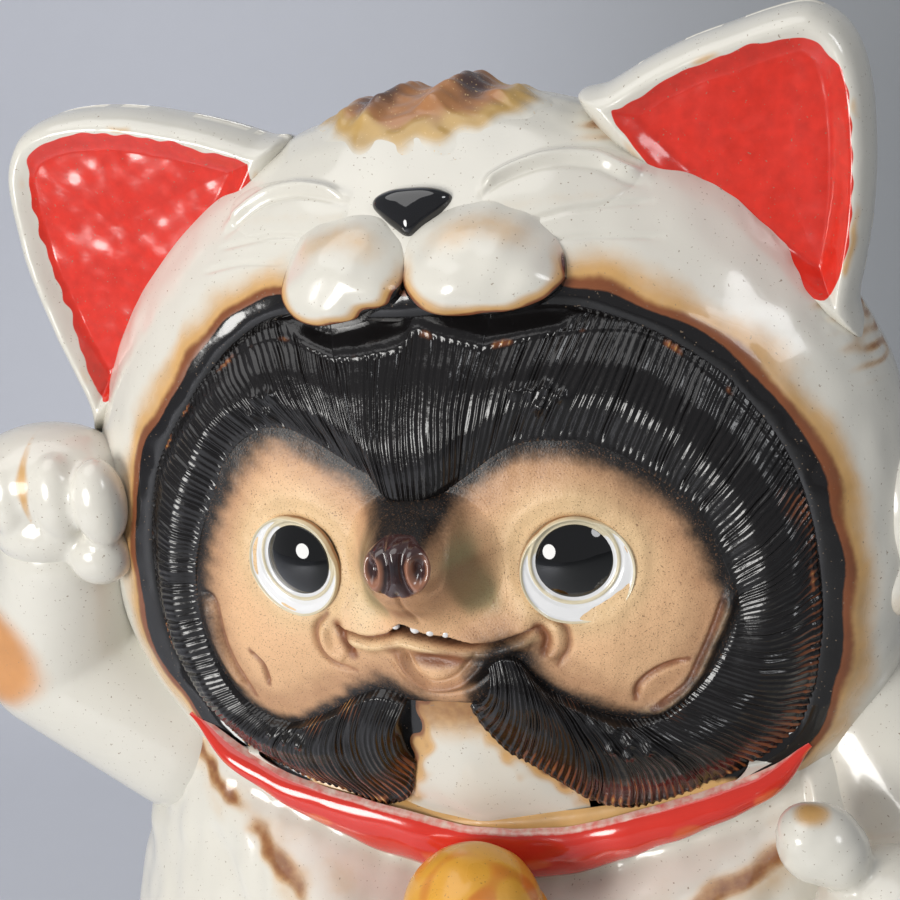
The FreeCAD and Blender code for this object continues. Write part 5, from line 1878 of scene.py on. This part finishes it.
@dataclass
class Limbs:
    """Both arms, both paws, both feet and the short round tail."""

    def build(self) -> None:
        """Make all seven."""
        self.raised_arm()
        self.raised_paw()
        self.lowered_arm()
        self.lowered_paw()
        for side in Side:
            self.foot(side)
        self.tail()

    @staticmethod
    def stain(middle: Sequence[float], size: float, seed: int) -> object:
        """Give a mask that is a cloudy round stain.

        Args:
            middle: the stain's middle.
            size: its radius.
            seed: choice of the unevenness.

        Returns:
            A function of points.
        """
        def painted(points: Array) -> Array:
            """Paint points within the stain."""
            gap = np.linalg.norm(points - np.array(middle), axis=-1) / size
            return smooth_step(1.1, 0.5, gap + 0.12 * unevenness(points, 30.0, seed))
        return painted

    def raised_arm(self) -> None:
        """Make the statue's raised right arm."""
        elbow = (-118, -9, 267)
        blobs = limb(elbow, 21.5, (-104.5, -19, 300), 17.0) + limb((-88, 0, 244), 25.5, elbow, 21.5)
        masks = {"orange": self.stain((-126, -27, 275), 20, 111), "rust": self.stain((-139, -18, 272), 11, 112)}
        Piece("arm_right", HOOD_GLAZE).from_blobs(blobs, 1.3, masks)

    def raised_paw(self) -> None:
        """Make the raised paw with its four toes and its thumb."""
        blobs = [Blob((-103.0, -23, 320), (21.0, 15.5, 13.5)), Blob((-103, -24, 309), (16.0, 14.0, 11.0)),
                 Blob((-89.0, -29.0, 302.5), (8.0, 7.5, 7.5))]
        for px, pz in ((-119.5, 317.5), (-107.2, 318.5), (-94.8, 318.5), (-84.2, 317.0)):
            blobs.append(Blob((px, -33.0, pz), (6.4, 6.6, 10.8)))

        def stain(points: Array) -> Array:
            """Paint the stain between the middle toes."""
            gap = np.abs(points[:, 0] + 100.9) / 2.0 + np.abs(points[:, 2] - 323) / 12
            return 0.9 * smooth_step(1.3, 0.4, gap) * smooth_step(-22, -30, points[:, 1])

        Piece("paw_right", HOOD_GLAZE).from_blobs(blobs, 0.9, {"gold": stain})

    def lowered_arm(self) -> None:
        """Make the statue's left arm, which comes forward under the chin."""
        elbow = (106, -13, 219)
        blobs = limb((88, 4, 244), 25.5, elbow, 24) + limb(elbow, 24, (98, -38, 220), 16.5)
        Piece("arm_left", HOOD_GLAZE).from_blobs(blobs, 1.3, {})

    def lowered_paw(self) -> None:
        """Make the left paw with its toes and its thumb."""
        blobs = [Blob((92, -41, 224), (17.5, 16, 15))]
        for px, py in ((76.5, -52.5), (86.5, -56), (97, -55.5), (107, -51)):
            blobs.append(Blob((px, py, 221), (6.3, 7.5, 8.5)))
        blobs += [Blob((77, -44, 243), (9.2, 8.8, 8.6)), Blob((74.5, -45, 246), (6.5, 7.5, 6.0)),
                  Blob((80.5, -44, 241), (7.0, 8.6, 7.4))]
        Piece("paw_left", HOOD_GLAZE).from_blobs(
            blobs, 1.0, {"gold": self.stain((76, -47, 256), 7.0, 113)})

    def foot(self, side: Side) -> None:
        """Make one foot that rests flat.

        Args:
            side: which foot.
        """
        sign = side.value
        blobs = [Blob((sign * 46, -66, 14), (29.5, 38, 20.5))]
        for shift in (-18, 0, 18):
            blobs.append(Blob((sign * 46 + shift, -95 + abs(shift) * 0.22, 11.5), (9.5, 13, 11)))
        piece = Piece(f"foot_{side.label}", HOOD_GLAZE).from_blobs(blobs, 1.4, {
            "gold": lambda points: 0.7 * smooth_step(-92, -104, points[:, 1]) * np.max(
                [hump(points[:, 0] - sign * 46, 1.8, gap) for gap in (-9, 9)], axis=0)})
        for point in piece.data.vertices:
            point.co.z = max(point.co.z, 0.0)

    def tail(self) -> None:
        """Make the short round tail."""
        Piece("tail", HOOD_GLAZE).from_blobs(
            [Blob((0, 92, 57), (20.5, 30, 23)), Blob((0, 108, 62), (14, 16, 16))], 1.4,
            {"orange": self.stain((0, 122, 66), 24, 115)})


@dataclass
class SideFold:
    """The rounded fold of the hood behind the statue's left cheek."""

    def build(self) -> None:
        """Make the fold."""
        Piece("hood_side_fold", HOOD_GLAZE).from_blobs(
            [Blob((95.5, -6, 303), (8.5, 13, 17.5), (0, -6, 0)), Blob((93, -9, 289), (7, 10, 9))], 1.0,
            {"gold": lambda points: 0.35 * smooth_step(292, 286, points[:, 2])})


@dataclass(frozen=True)
class Lamp:
    """A round soft box that points at the head: its place and width in metres, its power in watts, its tint."""

    name: str
    place: tuple[float, float, float]
    width: float
    power: float
    tint: Colour

    def hang(self) -> None:
        """Put the lamp in the room."""
        lamp = bpy.data.lights.new(self.name, "AREA")
        lamp.shape = "DISK"
        lamp.size = self.width
        lamp.energy = self.power
        lamp.color = self.tint
        holder = bpy.data.objects.new(self.name, lamp)
        holder.location = self.place
        head = Vector((0, 0, HEAD_HEIGHT * MM))
        holder.rotation_euler = (head - Vector(self.place)).to_track_quat("-Z", "Y").to_euler()
        bpy.context.scene.collection.objects.link(holder)


@dataclass
class Studio:
    """A plain pale sweep, soft lights and the camera."""

    paper: Colour = (0.66, 0.68, 0.74)
    shaded_paper: Colour = (0.37, 0.385, 0.40)
    bend: float = 0.35
    room: Colour = (0.82, 0.84, 0.90)
    room_strength: float = 0.30
    lights: tuple[Lamp, ...] = (
        Lamp("key", (-0.42, -0.84, 0.42), 0.42, 6.6, (1.0, 0.985, 0.955)),
        Lamp("right", (1.0, -0.5, 0.9), 0.35, 2.2, (0.97, 0.98, 1.0)),
        Lamp("top", (-0.4, -0.3, 1.7), 1.4, 8.0, (1.0, 0.99, 0.98)))
    place: tuple[float, float, float] = (0.0988, -0.3241, 0.4233)
    right: tuple[float, float, float] = (0.954, 0.277, -0.115)
    up: tuple[float, float, float] = (0.022, 0.318, 0.948)
    back: tuple[float, float, float] = (0.299, -0.907, 0.297)

    def build(self) -> None:
        """Set everything up."""
        self.sweep()
        self.lamps()
        self.camera()

    def sweep(self) -> None:
        """Make the floor that curves up behind the statue."""
        across = {-2.2: 0.0, -0.55: 0.0, -0.2: 0.3, 0.0: 0.75, 0.15: 1.0, 2.2: 1.0}
        line = [(-1.6, 0.0), (self.bend, 0.0)]
        line += [(self.bend * (1 + math.sin(a)), self.bend * (1 - math.cos(a)))
                 for a in np.linspace(0.1, math.pi / 2, 24)]
        line += [(2 * self.bend, 2.4)]
        mesh = bpy.data.meshes.new("floor")
        points = [(x, y, z) for y, z in line for x in across]
        wide = len(across)
        faces = [(wide * i + j, wide * i + j + 1, wide * (i + 1) + j + 1, wide * (i + 1) + j)
                 for i in range(len(line) - 1) for j in range(wide - 1)]
        mesh.from_pydata(points, [], faces)
        mesh.polygons.foreach_set("use_smooth", [True] * len(faces))
        floor = bpy.data.objects.new("floor", mesh)
        bpy.context.scene.collection.objects.link(floor)
        shade = mesh.attributes.new("shade", "FLOAT", "POINT")
        shade.data.foreach_set("value", [dark for _ in line for dark in across.values()])
        paper = Finish("backdrop", self.paper, 0.9, layers=(
            Layer("shade", self.shaded_paper, 0.0, 1.0, 0.0, 1.0, 0.9),), drift=0.01, bump=0.02)
        mesh.materials.append(paper.material())

    def lamps(self) -> None:
        """Hang the soft boxes and set the room's light."""
        for light in self.lights:
            light.hang()
        world = bpy.data.worlds.new("room")
        world.use_nodes = True
        air = world.node_tree.nodes["Background"]
        air.inputs["Color"].default_value = (*self.room, 1.0)
        air.inputs["Strength"].default_value = self.room_strength
        bpy.context.scene.world = world

    def camera(self) -> None:
        """Stand the camera where the photograph was taken."""
        lens = bpy.data.cameras.new("camera")
        lens.lens = 60.0
        lens.sensor_width = 36.0
        lens.clip_start = 0.01
        lens.dof.use_dof = False
        holder = bpy.data.objects.new("camera", lens)
        turn = Matrix((self.right, self.up, self.back)).transposed()
        holder.matrix_world = Matrix.Translation(Vector(self.place)) @ turn.to_4x4()
        bpy.context.scene.collection.objects.link(holder)
        bpy.context.scene.camera = holder


def main() -> None:
    """Build every piece in order and the studio about it."""
    logging.basicConfig(level=logging.INFO, format="%(message)s", force=True)
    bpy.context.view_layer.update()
    for maker in (Hood(), CatFace(), Fur(), Face(), Eyes(), RIGHT_EAR, LEFT_EAR, Tuft(), SideFold(), Neck(),
                  Body(), Limbs(), Studio()):
        maker.build()
    bpy.context.scene.view_settings.view_transform = "Standard"


if __name__ == "__main__":
    main()
